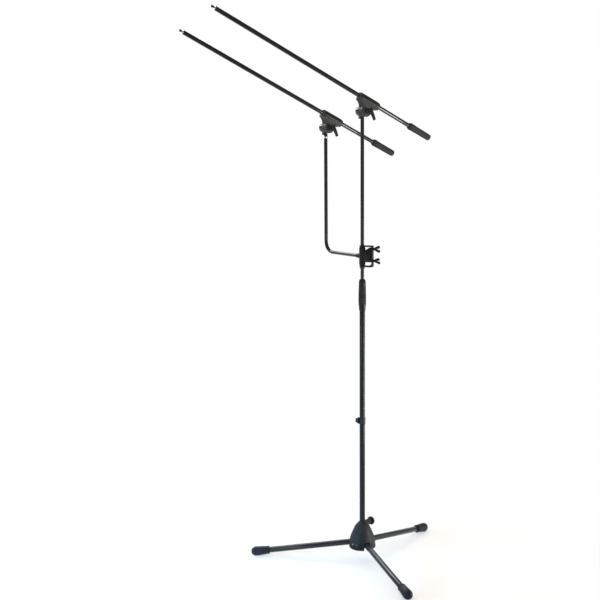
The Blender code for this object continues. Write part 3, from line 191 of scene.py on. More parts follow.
# Adds a node. Its sockets take plain values or links from other sockets.
def addNode(tree, kind, inputs=None, **settings):
    node = tree.nodes.new(kind)
    for setting, value in settings.items():
        setattr(node, setting, value)
    for label, value in (inputs or {}).items():
        if isinstance(value, bpy.types.NodeSocket):
            tree.links.new(value, node.inputs[label])
        else:
            node.inputs[label].default_value = value
    return node


def maths(tree, operation, first, second):
    return addNode(tree, "ShaderNodeMath", {0: first, 1: second}, operation=operation).outputs[0]


def ranged(tree, value, low, high, fromLow=0.3, fromHigh=0.7, curve="LINEAR"):
    inputs = {
        "Value": value,
        "From Min": fromLow,
        "From Max": fromHigh,
        "To Min": low,
        "To Max": high,
    }
    node = addNode(tree, "ShaderNodeMapRange", inputs, interpolation_type=curve)
    return node.outputs["Result"]


def mixedShaders(tree, factor, first, second):
    inputs = {"Fac": factor, 1: first, 2: second}
    return addNode(tree, "ShaderNodeMixShader", inputs).outputs[0]


# How far towards the camera a place or a direction lies
def aheadOf(tree, place):
    inputs = {0: place, 1: towardsCamera}
    return addNode(tree, "ShaderNodeVectorMath", inputs, operation="DOT_PRODUCT").outputs["Value"]


def emptyTree(owner):
    owner.use_nodes = True
    owner.node_tree.nodes.clear()
    return owner.node_tree


# The studio round the stand is white where the camera looks, and so it is in glass and metal, up
# to the dark room behind the camera.
plainWhite = (1, 1, 1, 1)
studio = {"backdrop": 1.0, "fill": 0.82, "room": 0.12, "roomEdge": -0.55, "whiteEdge": -0.97}


def addStudio(levels):
    world = bpy.data.worlds.new("standStudio")
    bpy.context.scene.world = world
    tree = emptyTree(world)
    rays = addNode(tree, "ShaderNodeLightPath").outputs
    ahead = aheadOf(tree, addNode(tree, "ShaderNodeTexCoord").outputs["Generated"])
    edges = (levels["roomEdge"], levels["whiteEdge"])
    strengths = {
        "backdrop": levels["backdrop"],
        "fill": levels["fill"],
        "room": ranged(tree, ahead, levels["room"], levels["backdrop"], *edges),
    }
    shades = {}
    for part, strength in strengths.items():
        inputs = {"Color": plainWhite, "Strength": strength}
        shades[part] = addNode(tree, "ShaderNodeBackground", inputs).outputs[0]
    mirrored = mixedShaders(tree, rays["Is Glossy Ray"], shades["fill"], shades["room"])
    seen = maths(tree, "MAXIMUM", rays["Is Camera Ray"], rays["Is Transmission Ray"])
    backdrop = mixedShaders(tree, seen, mirrored, shades["backdrop"])
    addNode(tree, "ShaderNodeOutputWorld", {"Surface": backdrop})


addStudio(studio)

# Pale floor, which keeps a faint shadow near the feet and runs out to plain white
floorLooks = {
    "radius": 30.0,
    "gap": 0.2 * mm,
    "colour": (0.98, 0.93, 0.86),
    "white": 1.0,
    "near": 0.42,
    "fadeFrom": 0.45,
    "fadeTo": 0.95,
    "mirrored": 0.28,
    "mirroredFrom": -0.3,
    "mirroredTo": 0.9,
}


def addFloor(looks):
    shape = bmesh.new()
    bmesh.ops.create_circle(shape, cap_ends=True, segments=64, radius=looks["radius"])
    mesh = bpy.data.meshes.new("studioFloor")
    shape.to_mesh(mesh)
    shape.free()
    mesh.transform(Matrix.Translation((0, 0, floorHeight - looks["gap"])))
    floor = addObject("studioFloor", mesh)
    paper = bpy.data.materials.new("floorPaper")
    tree = emptyTree(paper)
    rays = addNode(tree, "ShaderNodeLightPath").outputs
    spot = addNode(tree, "ShaderNodeTexCoord").outputs["Object"]
    edges = (looks["mirroredFrom"], looks["mirroredTo"])
    dim = ranged(
        tree, aheadOf(tree, spot), looks["white"], looks["mirrored"], *edges, "SMOOTHSTEP"
    )
    reach = addNode(tree, "ShaderNodeVectorMath", {0: spot}, operation="LENGTH").outputs["Value"]
    fade = ranged(tree, reach, looks["near"], 1.0, looks["fadeFrom"], looks["fadeTo"], "SMOOTHSTEP")
    glow = {"Factor": rays["Is Glossy Ray"], "A": looks["white"], "B": dim}
    strength = addNode(tree, "ShaderNodeMix", glow).outputs["Result"]
    lit = addNode(tree, "ShaderNodeBsdfDiffuse", {"Color": (*looks["colour"], 1)})
    plain = addNode(tree, "ShaderNodeEmission", {"Color": plainWhite, "Strength": strength})
    share = maths(tree, "MULTIPLY", maths(tree, "SUBTRACT", 1.0, rays["Is Diffuse Ray"]), fade)
    shown = maths(tree, "MAXIMUM", share, rays["Is Glossy Ray"])
    both = mixedShaders(tree, shown, lit.outputs[0], plain.outputs[0])
    addNode(tree, "ShaderNodeOutputMaterial", {"Surface": both})
    mesh.materials.append(paper)


addFloor(floorLooks)
bpy.context.scene.view_settings.view_transform = "Standard"
print("camera, softboxes, studio and floor are in place")


# Finishes, all on Object coordinates, so scales are per metre
def startFinish(name, looks, metallic=0.0):
    finish = bpy.data.materials.new(name)
    finish.use_nodes = True
    inputs = finish.node_tree.nodes["Principled BSDF"].inputs
    inputs["Metallic"].default_value = metallic
    inputs["Specular IOR Level"].default_value = looks.get("specular", 0.5)
    inputs["Coat Weight"].default_value = looks.get("coat", 0.0)
    inputs["Coat Roughness"].default_value = looks.get("coatRoughness", 0.1)
    place = addNode(finish.node_tree, "ShaderNodeTexCoord").outputs["Object"]
    return finish, finish.node_tree, place


def endFinish(finish, colour, roughness, normal):
    inputs = finish.node_tree.nodes["Principled BSDF"].inputs
    for label, socket in (("Base Color", colour), ("Roughness", roughness), ("Normal", normal)):
        finish.node_tree.links.new(socket, inputs[label])
    return finish


def grain(tree, place, scale, detail=3.0, stretch=(1, 1, 1), turn=(0, 0, 0)):
    rotation = [math.radians(angle) for angle in turn]
    inputs = {"Vector": place, "Rotation": rotation, "Scale": stretch}
    mapping = addNode(tree, "ShaderNodeMapping", inputs, vector_type="TEXTURE")
    inputs = {"Vector": mapping.outputs["Vector"], "Scale": scale, "Detail": detail}
    return addNode(tree, "ShaderNodeTexNoise", inputs).outputs["Fac"]


def cells(tree, place, scale, feature="F1"):
    inputs = {"Vector": place, "Scale": scale}
    return addNode(tree, "ShaderNodeTexVoronoi", inputs, feature=feature).outputs["Distance"]


# A mix of two colours, each a tuple or a socket. 6, 7 and 2 are the colour sockets of the node.
def tinted(tree, factor, first, second):
    inputs = {"Factor": factor}
    for socket, colour in ((6, first), (7, second)):
        inputs[socket] = (*colour, 1) if isinstance(colour, tuple) else colour
    return addNode(tree, "ShaderNodeMix", inputs, data_type="RGBA").outputs[2]


def shaded(tree, factor, looks):
    return tinted(tree, ranged(tree, factor, 0, 1), looks["dark"], looks["light"])


def bumped(tree, height, depth, after=None):
    inputs = {"Strength": 1.0, "Distance": depth, "Height": height}
    if after is not None:
        inputs["Normal"] = after
    return addNode(tree, "ShaderNodeBump", inputs).outputs["Normal"]


# Edges rubbed a little lighter by handling
def worn(tree, colour, rubbed, start=0.53, end=0.6, most=0.75):
    geometry = addNode(tree, "ShaderNodeNewGeometry")
    edge = ranged(tree, geometry.outputs["Pointiness"], 0.0, most, start, end)
    return tinted(tree, edge, colour, rubbed)


# Rough black paint on metal. It can carry painted shade, darker towards the bottom.
def castPaint(name, looks, grainShare=0.8):
    finish, tree, place = startFinish(name, looks)
    cloud = grain(tree, place, looks["cloud"], 4)
    paint = shaded(tree, cloud, looks)
    # Painted shade: the colour darkens towards the bottom, where the hub lies in shade
    if "paintedShade" in looks:
        rise = addNode(tree, "ShaderNodeSeparateXYZ", {0: place}).outputs["Z"]
        paint = tinted(tree, ranged(tree, rise, 0, 1, *looks["paintedShadeRise"]), looks["paintedShade"], paint)
    colour = worn(tree, paint, looks["rubbed"])
    pits = bumped(tree, cells(tree, place, looks["pits"]), looks["depth"])
    sand = grain(tree, place, looks["grain"], 5)
    normal = bumped(tree, sand, looks["depth"] * grainShare, pits)
    return endFinish(finish, colour, ranged(tree, cloud, *looks["roughness"]), normal)


# Black lacquer on drawn tube, with faint lines along the tube's own direction
def tubeLacquer(name, looks, turn=(0, 0, 0)):
    finish, tree, place = startFinish(name, looks)
    cloud = grain(tree, place, looks["cloud"], 3)
    lines = grain(tree, place, looks["lines"], 3, looks["lineStretch"], turn)
    lacquer = shaded(tree, cloud, looks)
    marks = grain(tree, place, looks["scuffs"], 6, looks["scuffStretch"], turn)
    colour = tinted(tree, ranged(tree, marks, 0, 0.5, *looks["scuffed"]), lacquer, looks["scuff"])
    peel = bumped(tree, grain(tree, place, looks["peel"], 2), looks["peelDepth"])
    normal = bumped(tree, lines, looks["lineDepth"], peel)
    return endFinish(finish, colour, ranged(tree, lines, *looks["roughness"]), normal)


# Moulded nylon, with a fine spark grain and softer flow marks
def mouldedNylon(name, looks):
    finish, tree, place = startFinish(name, looks)
    flow = grain(tree, place, looks["flow"], 3)
    nylon = shaded(tree, flow, looks)
    colour = worn(tree, nylon, looks["rubbed"])
    spark = bumped(tree, grain(tree, place, looks["grain"], 4), looks["depth"])
    return endFinish(finish, colour, ranged(tree, flow, *looks["roughness"]), spark)


# Rubber of the boots and the foam-like rubber of the boom grips
def dustyRubber(name, looks):
    finish, tree, place = startFinish(name, looks)
    patch = grain(tree, place, looks["patch"], 5)
    rubber = shaded(tree, patch, looks)
    specks = ranged(tree, grain(tree, place, looks["specks"], 2), 0, 0.5, *looks["specked"])
    colour = tinted(tree, specks, rubber, looks["dust"])
    skin = bumped(tree, cells(tree, place, looks["cells"], "SMOOTH_F1"), looks["depth"])
    normal = bumped(tree, grain(tree, place, looks["skin"], 3), looks["skinDepth"], skin)
    return endFinish(finish, colour, ranged(tree, patch, *looks["roughness"]), normal)


# Plated steel, with fine turning lines
def platedSteel(name, looks, turn=(0, 0, 0)):
    finish, tree, place = startFinish(name, looks, 1.0)
    stain = grain(tree, place, looks["stain"], 4)
    colour = shaded(tree, stain, looks)
    lines = grain(tree, place, looks["lines"], 2, looks["lineStretch"], turn)
    normal = bumped(tree, lines, looks["depth"])
    return endFinish(finish, colour, ranged(tree, lines, *looks["roughness"]), normal)


def grey(level):
    return (level, level, level)


alongBoom = (0, 90 - boomElevation, 0)
lacquerLooks = {
    "dark": grey(0.0115),
    "light": grey(0.0164),
    "scuff": grey(0.0182),
    "specular": 0.2,
    "coat": 0.15,
    "coatRoughness": 0.08,
    "roughness": (0.2, 0.3),
    "cloud": 14,
    "lines": 700,
    "lineStretch": (1, 1, 90),
    "lineDepth": 0.002 * mm,
    "scuffs": 120,
    "scuffStretch": (1, 1, 6),
    "scuffed": (0.66, 0.78),
    "peel": 320,
    "peelDepth": 0.006 * mm,
}
columnLooks = dict(lacquerLooks, coatRoughness=0.14)
columnLacquer = tubeLacquer("columnLacquer", columnLooks)
# Painted light: the upper tube has a lighter copy of the lacquer, standing in for the light it
# catches
mastPaintedLightLooks = dict(columnLooks, dark=grey(0.026), light=grey(0.032))
mastPaintedLightLacquer = tubeLacquer("mastPaintedLightLacquer", mastPaintedLightLooks)
boomLooks = dict(lacquerLooks, specular=0.08, coat=0.7, coatRoughness=0.03)
boomLacquer = tubeLacquer("boomLacquer", boomLooks, alongBoom)
# Painted light: a lighter copy of the lacquer, standing in for the sheen on the side arm; the bolt
# caps share it
armPaintedLightLacquer = tubeLacquer(
    "armPaintedLightLacquer",
    dict(
        lacquerLooks,
        dark=(0.018, 0.018, 0.019),
        light=(0.024, 0.024, 0.025),
        coat=0.5,
        coatRoughness=0.12,
    ),
)
hubPaint = castPaint(
    "hubPaint",
    {
        "dark": (0.0133, 0.0139, 0.0145),
        "light": grey(0.023),
        "rubbed": (0.0545, 0.0545, 0.0558),
        # Painted shade: the hub's colour darkens towards its bottom
        "paintedShade": (0.0036, 0.0036, 0.0042),
        "paintedShadeRise": (6 * mm, 36 * mm),
        "cloud": 45,
        "pits": 900,
        "grain": 1500,
        "depth": 0.09 * mm,
        "roughness": (0.45, 0.6),
        "specular": 0.3,
    },
)
bracketPaint = castPaint(
    "bracketPaint",
    {
        "dark": (0.0048, 0.0048, 0.0055),
        "light": (0.0085, 0.0085, 0.0091),
        "rubbed": (0.0303, 0.0303, 0.0315),
        "cloud": 120,
        "pits": 1600,
        "grain": 2600,
        "depth": 0.03 * mm,
        "roughness": (0.5, 0.62),
        "specular": 0.25,
    },
)
swivelPaint = castPaint(
    "swivelPaint",
    {
        "dark": (0.016, 0.019, 0.022),
        "light": (0.026, 0.031, 0.036),
        "rubbed": (0.0364, 0.0364, 0.0376),
        "cloud": 90,
        "pits": 1200,
        "grain": 2200,
        "depth": 0.008 * mm,
        "roughness": (0.12, 0.2),
    },
)
nylonLooks = {
    "dark": (0.0145, 0.0152, 0.0152),
    "light": (0.023, 0.0236, 0.023),
    "rubbed": (0.0606, 0.0618, 0.0606),
    "flow": 60,
    "grain": 2400,
    "depth": 0.02 * mm,
    "specular": 0.4,
    "roughness": (0.46, 0.6),
}
clampNylon = mouldedNylon(
    "clampNylon",
    dict(
        nylonLooks,
        dark=(0.0105, 0.0105, 0.0095),
        light=(0.017, 0.017, 0.0155),
        specular=0.3,
        roughness=(0.38, 0.48),
    ),
)
clutchNylon = mouldedNylon("clutchNylon", dict(nylonLooks, roughness=(0.36, 0.4), specular=0.22))
knobNylon = mouldedNylon(
    "knobNylon",
    dict(nylonLooks, dark=grey(0.0061), light=grey(0.0097)),
)
sleeveNylon = mouldedNylon(
    "sleeveNylon",
    dict(
        nylonLooks,
        dark=(0.0036, 0.0042, 0.0048),
        light=(0.0061, 0.0067, 0.0073),
        specular=0.25,
    ),
)
leverNylon = mouldedNylon(
    "leverNylon",
    dict(nylonLooks, dark=grey(0.0085), light=grey(0.0145)),
)
bootLooks = {
    "dark": (0.0085, 0.0091, 0.0109),
    "light": (0.0152, 0.0164, 0.0188),
    "dust": (0.0364, 0.0364, 0.0376),
    "patch": 55,
    "cells": 1100,
    "depth": 0.05 * mm,
    "specks": 900,
    "specked": (0.68, 0.8),
    "skin": 1600,
    "skinDepth": 0.02 * mm,
    "specular": 0.25,
    "roughness": (0.4, 0.55),
}
bootRubber = dustyRubber("bootRubber", bootLooks)
gripRubber = dustyRubber(
    "gripRubber",
    dict(
        bootLooks,
        dark=grey(0.0267),
        light=(0.0388, 0.0388, 0.0376),
        dust=grey(0.0606),
        patch=70,
        cells=1500,
        depth=0.12 * mm,
        roughness=(0.6, 0.78),
    ),
)
nickelLooks = {
    "dark": (0.84, 0.83, 0.81),
    "light": (0.94, 0.93, 0.91),
    "stain": 90,
    "lines": 2200,
    "lineStretch": (20, 20, 1),
    "roughness": (0.3, 0.42),
    "depth": 0.004 * mm,
}
nickelPlate = platedSteel("nickelPlate", nickelLooks, alongBoom)
studLooks = dict(
    nickelLooks, dark=(0.09, 0.09, 0.088), light=(0.15, 0.15, 0.146), depth=0.006 * mm
)
studSteel = platedSteel("studSteel", studLooks, alongBoom)
zincLooks = dict(
    nickelLooks,
    dark=(0.40, 0.40, 0.41),
    light=(0.56, 0.56, 0.55),
    roughness=(0.28, 0.44),
    depth=0.008 * mm,
)
zincPlate = platedSteel("zincPlate", zincLooks)
print("finishes are mixed")


# Shapes. A profile is a list of (radius, height) points turned round Z. turnX lays Z along X, and
# turnY lays it along Y.
turnX = Matrix.Rotation(math.radians(90), 4, "Y")
turnY = Matrix.Rotation(math.radians(-90), 4, "X")
# Points closer than a weld become one, and so do faces that meet within the flat angle
meshing = {"weld": 1e-7, "solidWeld": 2e-6, "flatAngle": 1.0, "downward": -0.999}


def raised(height):
    return Matrix.Translation((0, 0, height))


def aboutZ(azimuth):
    return Matrix.Rotation(math.radians(azimuth), 4, "Z")


# Rounds every corner of a profile with a short curve
def softened(profile, corner, closed=False, steps=3):
    points = [Vector(point) for point in profile]
    count = len(points)
    curve = []
    for index, point in enumerate(points):
        if not closed and index in (0, count - 1):
            curve.append(tuple(point))
            continue
        before = points[index - 1] - point
        after = points[(index + 1) % count] - point
        reach = min(corner, before.length * 0.45, after.length * 0.45)
        start = point + before.normalized() * reach
        end = point + after.normalized() * reach
        for step in range(steps + 1):
            t = step / steps
            spot = start * (1 - t) ** 2 + point * 2 * t * (1 - t) + end * t * t
            curve.append(tuple(spot))
    return curve


# Relief changes the radius by angle and height, as for flutes
def lathe(profile, steps, matrix=Matrix(), closed=False, relief=None):
    shape = bmesh.new()
    rows = []
    for radius, height in profile:
        if radius < meshing["weld"]:
            rows.append([shape.verts.new((0, 0, height))])
            continue
        row = []
        for step in range(steps):
            angle = math.tau * step / steps
            across = radius + (relief(angle, height, radius) if relief else 0)
            spot = (across * math.cos(angle), across * math.sin(angle), height)
            row.append(shape.verts.new(spot))
        rows.append(row)
    pairs = list(zip(rows, rows[1:])) + ([(rows[-1], rows[0])] if closed else [])
    for low, high in pairs:
        for step in range(steps):
            beside = (step + 1) % steps
            if len(low) == 1 and len(high) == 1:
                continue
            if len(low) == 1:
                shape.faces.new((low[0], high[step], high[beside]))
            elif len(high) == 1:
                shape.faces.new((low[step], low[beside], high[0]))
            else:
                shape.faces.new((low[step], low[beside], high[beside], high[step]))
    return finished(shape, matrix)


def finished(shape, matrix=Matrix(), angle=40):
    bmesh.ops.remove_doubles(shape, verts=shape.verts, dist=meshing["weld"])
    bmesh.ops.transform(shape, matrix=matrix, verts=shape.verts)
    bmesh.ops.recalc_face_normals(shape, faces=shape.faces)
    mesh = bpy.data.meshes.new("shape")
    shape.to_mesh(mesh)
    shape.free()
    mesh.shade_smooth()
    mesh.set_sharp_from_angle(angle=math.radians(angle))
    return mesh


def tubePiece(outer, inner, low, high, steps, matrix=Matrix(), lip=0.4 * mm):
    profile = [(inner, low), (outer, low), (outer, high), (inner, high)]
    return lathe(softened(profile, lip, closed=True), steps, matrix, closed=True)


# Gives the mesh of an object after its modifiers, and removes the object
def modified(host):
    graph = bpy.context.evaluated_depsgraph_get()
    mesh = bpy.data.meshes.new_from_object(host.evaluated_get(graph))
    host.modifiers.clear()
    bpy.data.objects.remove(host)
    return mesh


# Takes a solid of the frame as it is, joins its loose triangles and rounds its edges. Faces that
# look down stay triangles, because one face can't go round the openings in a flat underside.
def rounded(node, edge, segments=2, angle=34, sharp=50):
    shape = bmesh.new()
    shape.from_mesh(frame["nodes"][node].data)
    bmesh.ops.remove_doubles(shape, verts=shape.verts, dist=meshing["solidWeld"])
    shape.normal_update()
    seams = [
        seam
        for seam in shape.edges
        if any(face.normal.z > meshing["downward"] for face in seam.link_faces)
    ]
    bmesh.ops.dissolve_limit(
        shape,
        angle_limit=math.radians(meshing["flatAngle"]),
        use_dissolve_boundaries=False,
        verts=shape.verts,
        edges=seams,
    )
    mesh = bpy.data.meshes.new("rounding")
    shape.to_mesh(mesh)
    shape.free()
    blank = addObject("rounding", mesh)
    bevel = blank.modifiers.new("edges", "BEVEL")
    bevel.width = edge
    bevel.segments = segments
    bevel.limit_method = "ANGLE"
    bevel.angle_limit = math.radians(angle)
    bevel.miter_outer = "MITER_ARC"
    bevel.harden_normals = False
    result = modified(blank)
    result.materials.clear()
    result.shade_smooth()
    result.set_sharp_from_angle(angle=math.radians(sharp))
    return result


# A finished mesh becomes a piece: it rides with its node's body, and stands for the node if told
def addPiece(mesh, name, node, finish, replacing=True):
    mesh.name = name
    mesh.materials.clear()
    mesh.materials.append(finish)
    piece = addObject(name, mesh)
    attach(piece, bodyOf[node])
    if replacing:
        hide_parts(node)


# Adds a solid of the frame with its edges rounded
def addRounded(name, node, finish, edge, segments=2):
    addPiece(rounded(node, edge, segments), name, node, finish)


# Adds a turned piece with its corners softened
def addTurned(name, node, finish, profile, corner, steps, matrix, closed=False, replacing=True):
    mesh = lathe(softened(profile, corner, closed), steps, matrix, closed)
    addPiece(mesh, name, node, finish, replacing)


def dressNode(node, finish):
    mesh = frame["nodes"][node].data
    mesh.materials.clear()
    mesh.materials.append(finish)


# Node trees for what repeats. Each is made once, with named inputs and their usual values.
def startTree(name, sizes):
    tree = bpy.data.node_groups.new(name, "GeometryNodeTree")
    for label, value in sizes.items():
        kind = "NodeSocketInt" if isinstance(value, int) else "NodeSocketFloat"
        tree.interface.new_socket(label, in_out="INPUT", socket_type=kind).default_value = value
    tree.interface.new_socket("Finish", in_out="INPUT", socket_type="NodeSocketMaterial")
    tree.interface.new_socket("Geometry", in_out="OUTPUT", socket_type="NodeSocketGeometry")
    return tree, addNode(tree, "NodeGroupInput").outputs


def endTree(tree, given, geometry):
    smooth = addNode(tree, "GeometryNodeSetShadeSmooth", {"Geometry": geometry}).outputs
    solid = addNode(tree, "GeometryNodeRealizeInstances", {"Geometry": smooth["Geometry"]}).outputs
    inputs = {"Geometry": solid["Geometry"], "Material": given["Finish"]}
    painted = addNode(tree, "GeometryNodeSetMaterial", inputs).outputs["Geometry"]
    addNode(tree, "NodeGroupOutput", {"Geometry": painted})
    return tree


# Sweeps a round section along a curve
def sweep(tree, curve, radius, sides, caps=False):
    inputs = {"Resolution": sides, "Radius": radius}
    section = addNode(tree, "GeometryNodeCurvePrimitiveCircle", inputs).outputs["Curve"]
    inputs = {"Curve": curve, "Profile Curve": section, "Fill Caps": caps}
    return addNode(tree, "GeometryNodeCurveToMesh", inputs).outputs["Mesh"]


def copied(tree, points, instance):
    inputs = {"Points": points, "Instance": instance}
    return addNode(tree, "GeometryNodeInstanceOnPoints", inputs).outputs["Instances"]


# A screw thread: a small round section that climbs a helix
def threadTree():
    usual = {"Radius": 4.75 * mm, "Pitch": 1.6 * mm, "Turns": 6.0, "Depth": 0.4 * mm}
    tree, given = startTree("screwThread", usual)
    inputs = {
        "Resolution": 40,
        "Rotations": given["Turns"],
        "Start Radius": given["Radius"],
        "End Radius": given["Radius"],
        "Height": maths(tree, "MULTIPLY", given["Pitch"], given["Turns"]),
    }
    helix = addNode(tree, "GeometryNodeCurveSpiral", inputs).outputs["Curve"]
    return endTree(tree, given, sweep(tree, helix, given["Depth"], 6, True))


# Round ribs set in a circle, each running along the axis
def ribTree():
    usual = {"Count": 24, "Radius": 15 * mm, "Length": 8 * mm, "Thickness": 0.6 * mm}
    tree, given = startTree("gripRibs", usual)
    inputs = {"Vertices": given["Count"], "Radius": given["Radius"]}
    circle = addNode(tree, "GeometryNodeMeshCircle", inputs).outputs["Mesh"]
    inputs = {"Vertices": 8, "Radius": given["Thickness"], "Depth": given["Length"]}
    rib = addNode(tree, "GeometryNodeMeshCylinder", inputs).outputs["Mesh"]
    return endTree(tree, given, copied(tree, circle, rib))


# Rings in a row along the axis
def ringTree():
    usual = {"Rings": 3, "Spacing": 2 * mm, "Radius": 12 * mm, "Thickness": 0.5 * mm}
    tree, given = startTree("mouldedRings", usual)
    step = addNode(tree, "ShaderNodeCombineXYZ", {"Z": given["Spacing"]}).outputs["Vector"]
    inputs = {"Count": given["Rings"], "Offset": step}
    row = addNode(tree, "GeometryNodeMeshLine", inputs).outputs["Mesh"]
    inputs = {"Resolution": 64, "Radius": given["Radius"]}
    wheel = addNode(tree, "GeometryNodeCurvePrimitiveCircle", inputs).outputs["Curve"]
    return endTree(tree, given, copied(tree, row, sweep(tree, wheel, given["Thickness"], 8)))


# Runs a tree with these values, and gives a plain mesh in its place
def grown(tree, values, finish, matrix):
    host = addObject("host", bpy.data.meshes.new("host"))
    modifier = host.modifiers.new("grow", "NODES")
    modifier.node_group = tree
    for item in tree.interface.items_tree:
        if item.item_type == "SOCKET" and item.in_out == "INPUT":
            modifier[item.identifier] = finish if item.name == "Finish" else values[item.name]
    mesh = modified(host)
    mesh.transform(matrix)
    return mesh


screwThread = threadTree()
gripRibs = ribTree()
mouldedRings = ringTree()
print("shape tools and node trees are ready")

# Hub, with the pins on which the legs fold
hub = {
    "edge": 1.1 * mm,
    "pinRadius": 3 * mm,
    "pinHalf": 37 * mm,
    "pinBevel": 0.8 * mm,
    "pinOut": 30 * mm,
    "pinHeight": 20.8 * mm,
}
legAzimuths = (-45.8, 74.2, 194.2)
pinProfile = [
    (0, -hub["pinHalf"]),
    (hub["pinRadius"] * 0.6, -hub["pinHalf"]),
    (hub["pinRadius"], -hub["pinHalf"] + hub["pinBevel"]),
    (hub["pinRadius"], hub["pinHalf"] - hub["pinBevel"]),
    (hub["pinRadius"] * 0.6, hub["pinHalf"]),
    (0, hub["pinHalf"]),
]


def pinPlace(azimuth):
    return aboutZ(azimuth) @ Matrix.Translation((hub["pinOut"], 0, hub["pinHeight"]))


addRounded("castHub", "base_hub", hubPaint, hub["edge"], 3)
for number, azimuth in enumerate(legAzimuths, 1):
    spoke = pinPlace(azimuth) @ turnY
    pinNode = f"leg_pin_{number}"
    addTurned(f"legPin{number}", pinNode, zincPlate, pinProfile, 0.4 * mm, 24, spoke)
print("hub is dressed")

# Legs and their rubber boots. A boot is pressed flat where it stands.
leg = {
    "slope": 8.5,
    "edge": 0.5 * mm,
    "coats": (0.4, 0.6, 0.3),
    # Painted light: the third leg's lacquer is lighter, standing in for the light that falls on it
    "thirdPaintedLitDark": (0.0212, 0.0218, 0.023),
    "thirdPaintedLitLight": (0.0273, 0.0279, 0.0291),
}
boot = {
    "legLength": 389.3 * mm,
    "length": 67 * mm,
    "collar": 14.5 * mm,
    "collarLip": 0.5 * mm,
    "radius": 17.4 * mm,
    "tip": 8.5 * mm,
    "tipLength": 17 * mm,
    "endWall": 9 * mm,
    "bore": 11.05 * mm,
    "grooves": 4,
    "grooveDepth": 0.5 * mm,
    "groovePitch": 3.2 * mm,
    "finest": 0.7 * mm,
}


# Adds points where a profile is wider than this radius, for a relief to move
def divided(profile, step, inside, closed=False):
    fine = []
    for (r0, h0), (r1, h1) in zip(profile, profile[1:] + (profile[:1] if closed else [])):
        parts = max(1, int(abs(h1 - h0) / step)) if min(r0, r1) > inside else 1
        for part in range(parts):
            fine.append((r0 + (r1 - r0) * part / parts, h0 + (h1 - h0) * part / parts))
    return fine if closed else fine + profile[-1:]


def bootMesh(sizes, matrix):
    end = sizes["legLength"]
    start = end - sizes["length"]
    collar, lip, radius = sizes["collar"], sizes["collarLip"], sizes["radius"]
    profile = [
        (0, end),
        (sizes["tip"], end),
        (radius - 4 * mm, end - sizes["tipLength"] * 0.3),
        (radius - 1 * mm, end - sizes["tipLength"] * 0.68),
        (radius, end - sizes["tipLength"]),
        (radius * 0.97, end - sizes["tipLength"] - 9 * mm),
        ((radius + collar) / 2, start + sizes["length"] * 0.38),
        (collar + 0.3 * mm, start + 12 * mm),
        (collar, start + 7 * mm),
        (collar - lip, start + 6 * mm),
        (collar + lip, start + 4.8 * mm),
        (collar + lip, start + 1 * mm),
        (collar - 0.3 * mm, start),
        (sizes["bore"], start),
        (sizes["bore"], end - sizes["endWall"]),
        (0, end - sizes["endWall"]),
    ]
    first = end - sizes["tipLength"] + 1 * mm
    inside = sizes["bore"] + 1 * mm

    # Shallow grooves round the tread
    def tread(angle, height, across):
        along = (first - height) / sizes["groovePitch"]
        if across >= inside and 0 < along < sizes["grooves"]:
            return -sizes["grooveDepth"] * max(0, math.cos(math.tau * along)) ** 3
        return 0

    fine = divided(softened(profile, 1.6 * mm, steps=4), sizes["finest"], inside)
    mesh = lathe(fine, 56, matrix, relief=tread)
    for vert in mesh.vertices:
        vert.co.z = max(vert.co.z, floorHeight)
    return mesh


for number, azimuth in enumerate(legAzimuths, 1):
    slope = Matrix.Rotation(math.radians(leg["slope"]), 4, "Y")
    legAxis = pinPlace(azimuth) @ slope @ turnX
    legLooks = dict(lacquerLooks, coat=leg["coats"][number - 1])
    # Painted light on the third leg: a lighter copy of the lacquer
    if number == 3:
        legLooks.update(dark=leg["thirdPaintedLitDark"], light=leg["thirdPaintedLitLight"])
    legFinish = tubeLacquer(f"legLacquer{number}", legLooks, (0, 90 + leg["slope"], azimuth))
    addRounded(f"legTube{number}", f"leg_tube_{number}", legFinish, leg["edge"])
    addPiece(bootMesh(boot, legAxis), f"legBoot{number}", f"foot_boot_{number}", bootRubber)
print("legs and boots are dressed")

# Knob that clamps the column in the hub, on its threaded shank
knob = {
    "height": 87 * mm,
    "start": 46.2 * mm,
    "radius": 15 * mm,
    "thickness": 13 * mm,
    "bore": 4.3 * mm,
    "boreDepth": 6.3 * mm,
    "dish": 0.6 * mm,
    "shank": 4 * mm,
    "shankStart": 10.3 * mm,
    "shankDepth": 6 * mm,
    "threadPitch": 1.25 * mm,
    "threadTurns": 26.0,
    "threadRise": 0.35 * mm,
    "threadDepth": 0.32 * mm,
    "ribs": 30,
    "ribLength": 6.6 * mm,
    "ribSink": 0.6 * mm,
    "ribThickness": 0.75 * mm,
}
knobAxis = aboutZ(legAzimuths[2]) @ raised(knob["height"]) @ turnX
knobEnd = knob["start"] + knob["thickness"]
knobProfile = [
    (knob["bore"], knob["start"]),
    (knob["radius"] * 0.6, knob["start"]),
    (knob["radius"] * 0.68, knob["start"] + 1.6 * mm),
    (knob["radius"] - 1.6 * mm, knob["start"] + 2.4 * mm),
    (knob["radius"] - 0.5 * mm, knob["start"] + 3.6 * mm),
    (knob["radius"] - 0.5 * mm, knobEnd - 3.6 * mm),
    (knob["radius"] - 1.8 * mm, knobEnd - 1.4 * mm),
    (knob["radius"] - 4 * mm, knobEnd - 0.4 * mm),
    (knob["radius"] * 0.55, knobEnd),
    (knob["radius"] * 0.5, knobEnd - knob["dish"]),
    (0, knobEnd - knob["dish"]),
    (0, knob["start"] + knob["boreDepth"]),
    (knob["bore"], knob["start"] + knob["boreDepth"]),
]
addTurned("clampKnob", "base_knob", knobNylon, knobProfile, 1 * mm, 72, knobAxis, closed=True)
knobRibs = {
    "Count": knob["ribs"],
    "Radius": knob["radius"] - knob["ribSink"],
    "Length": knob["ribLength"],
    "Thickness": knob["ribThickness"],
}
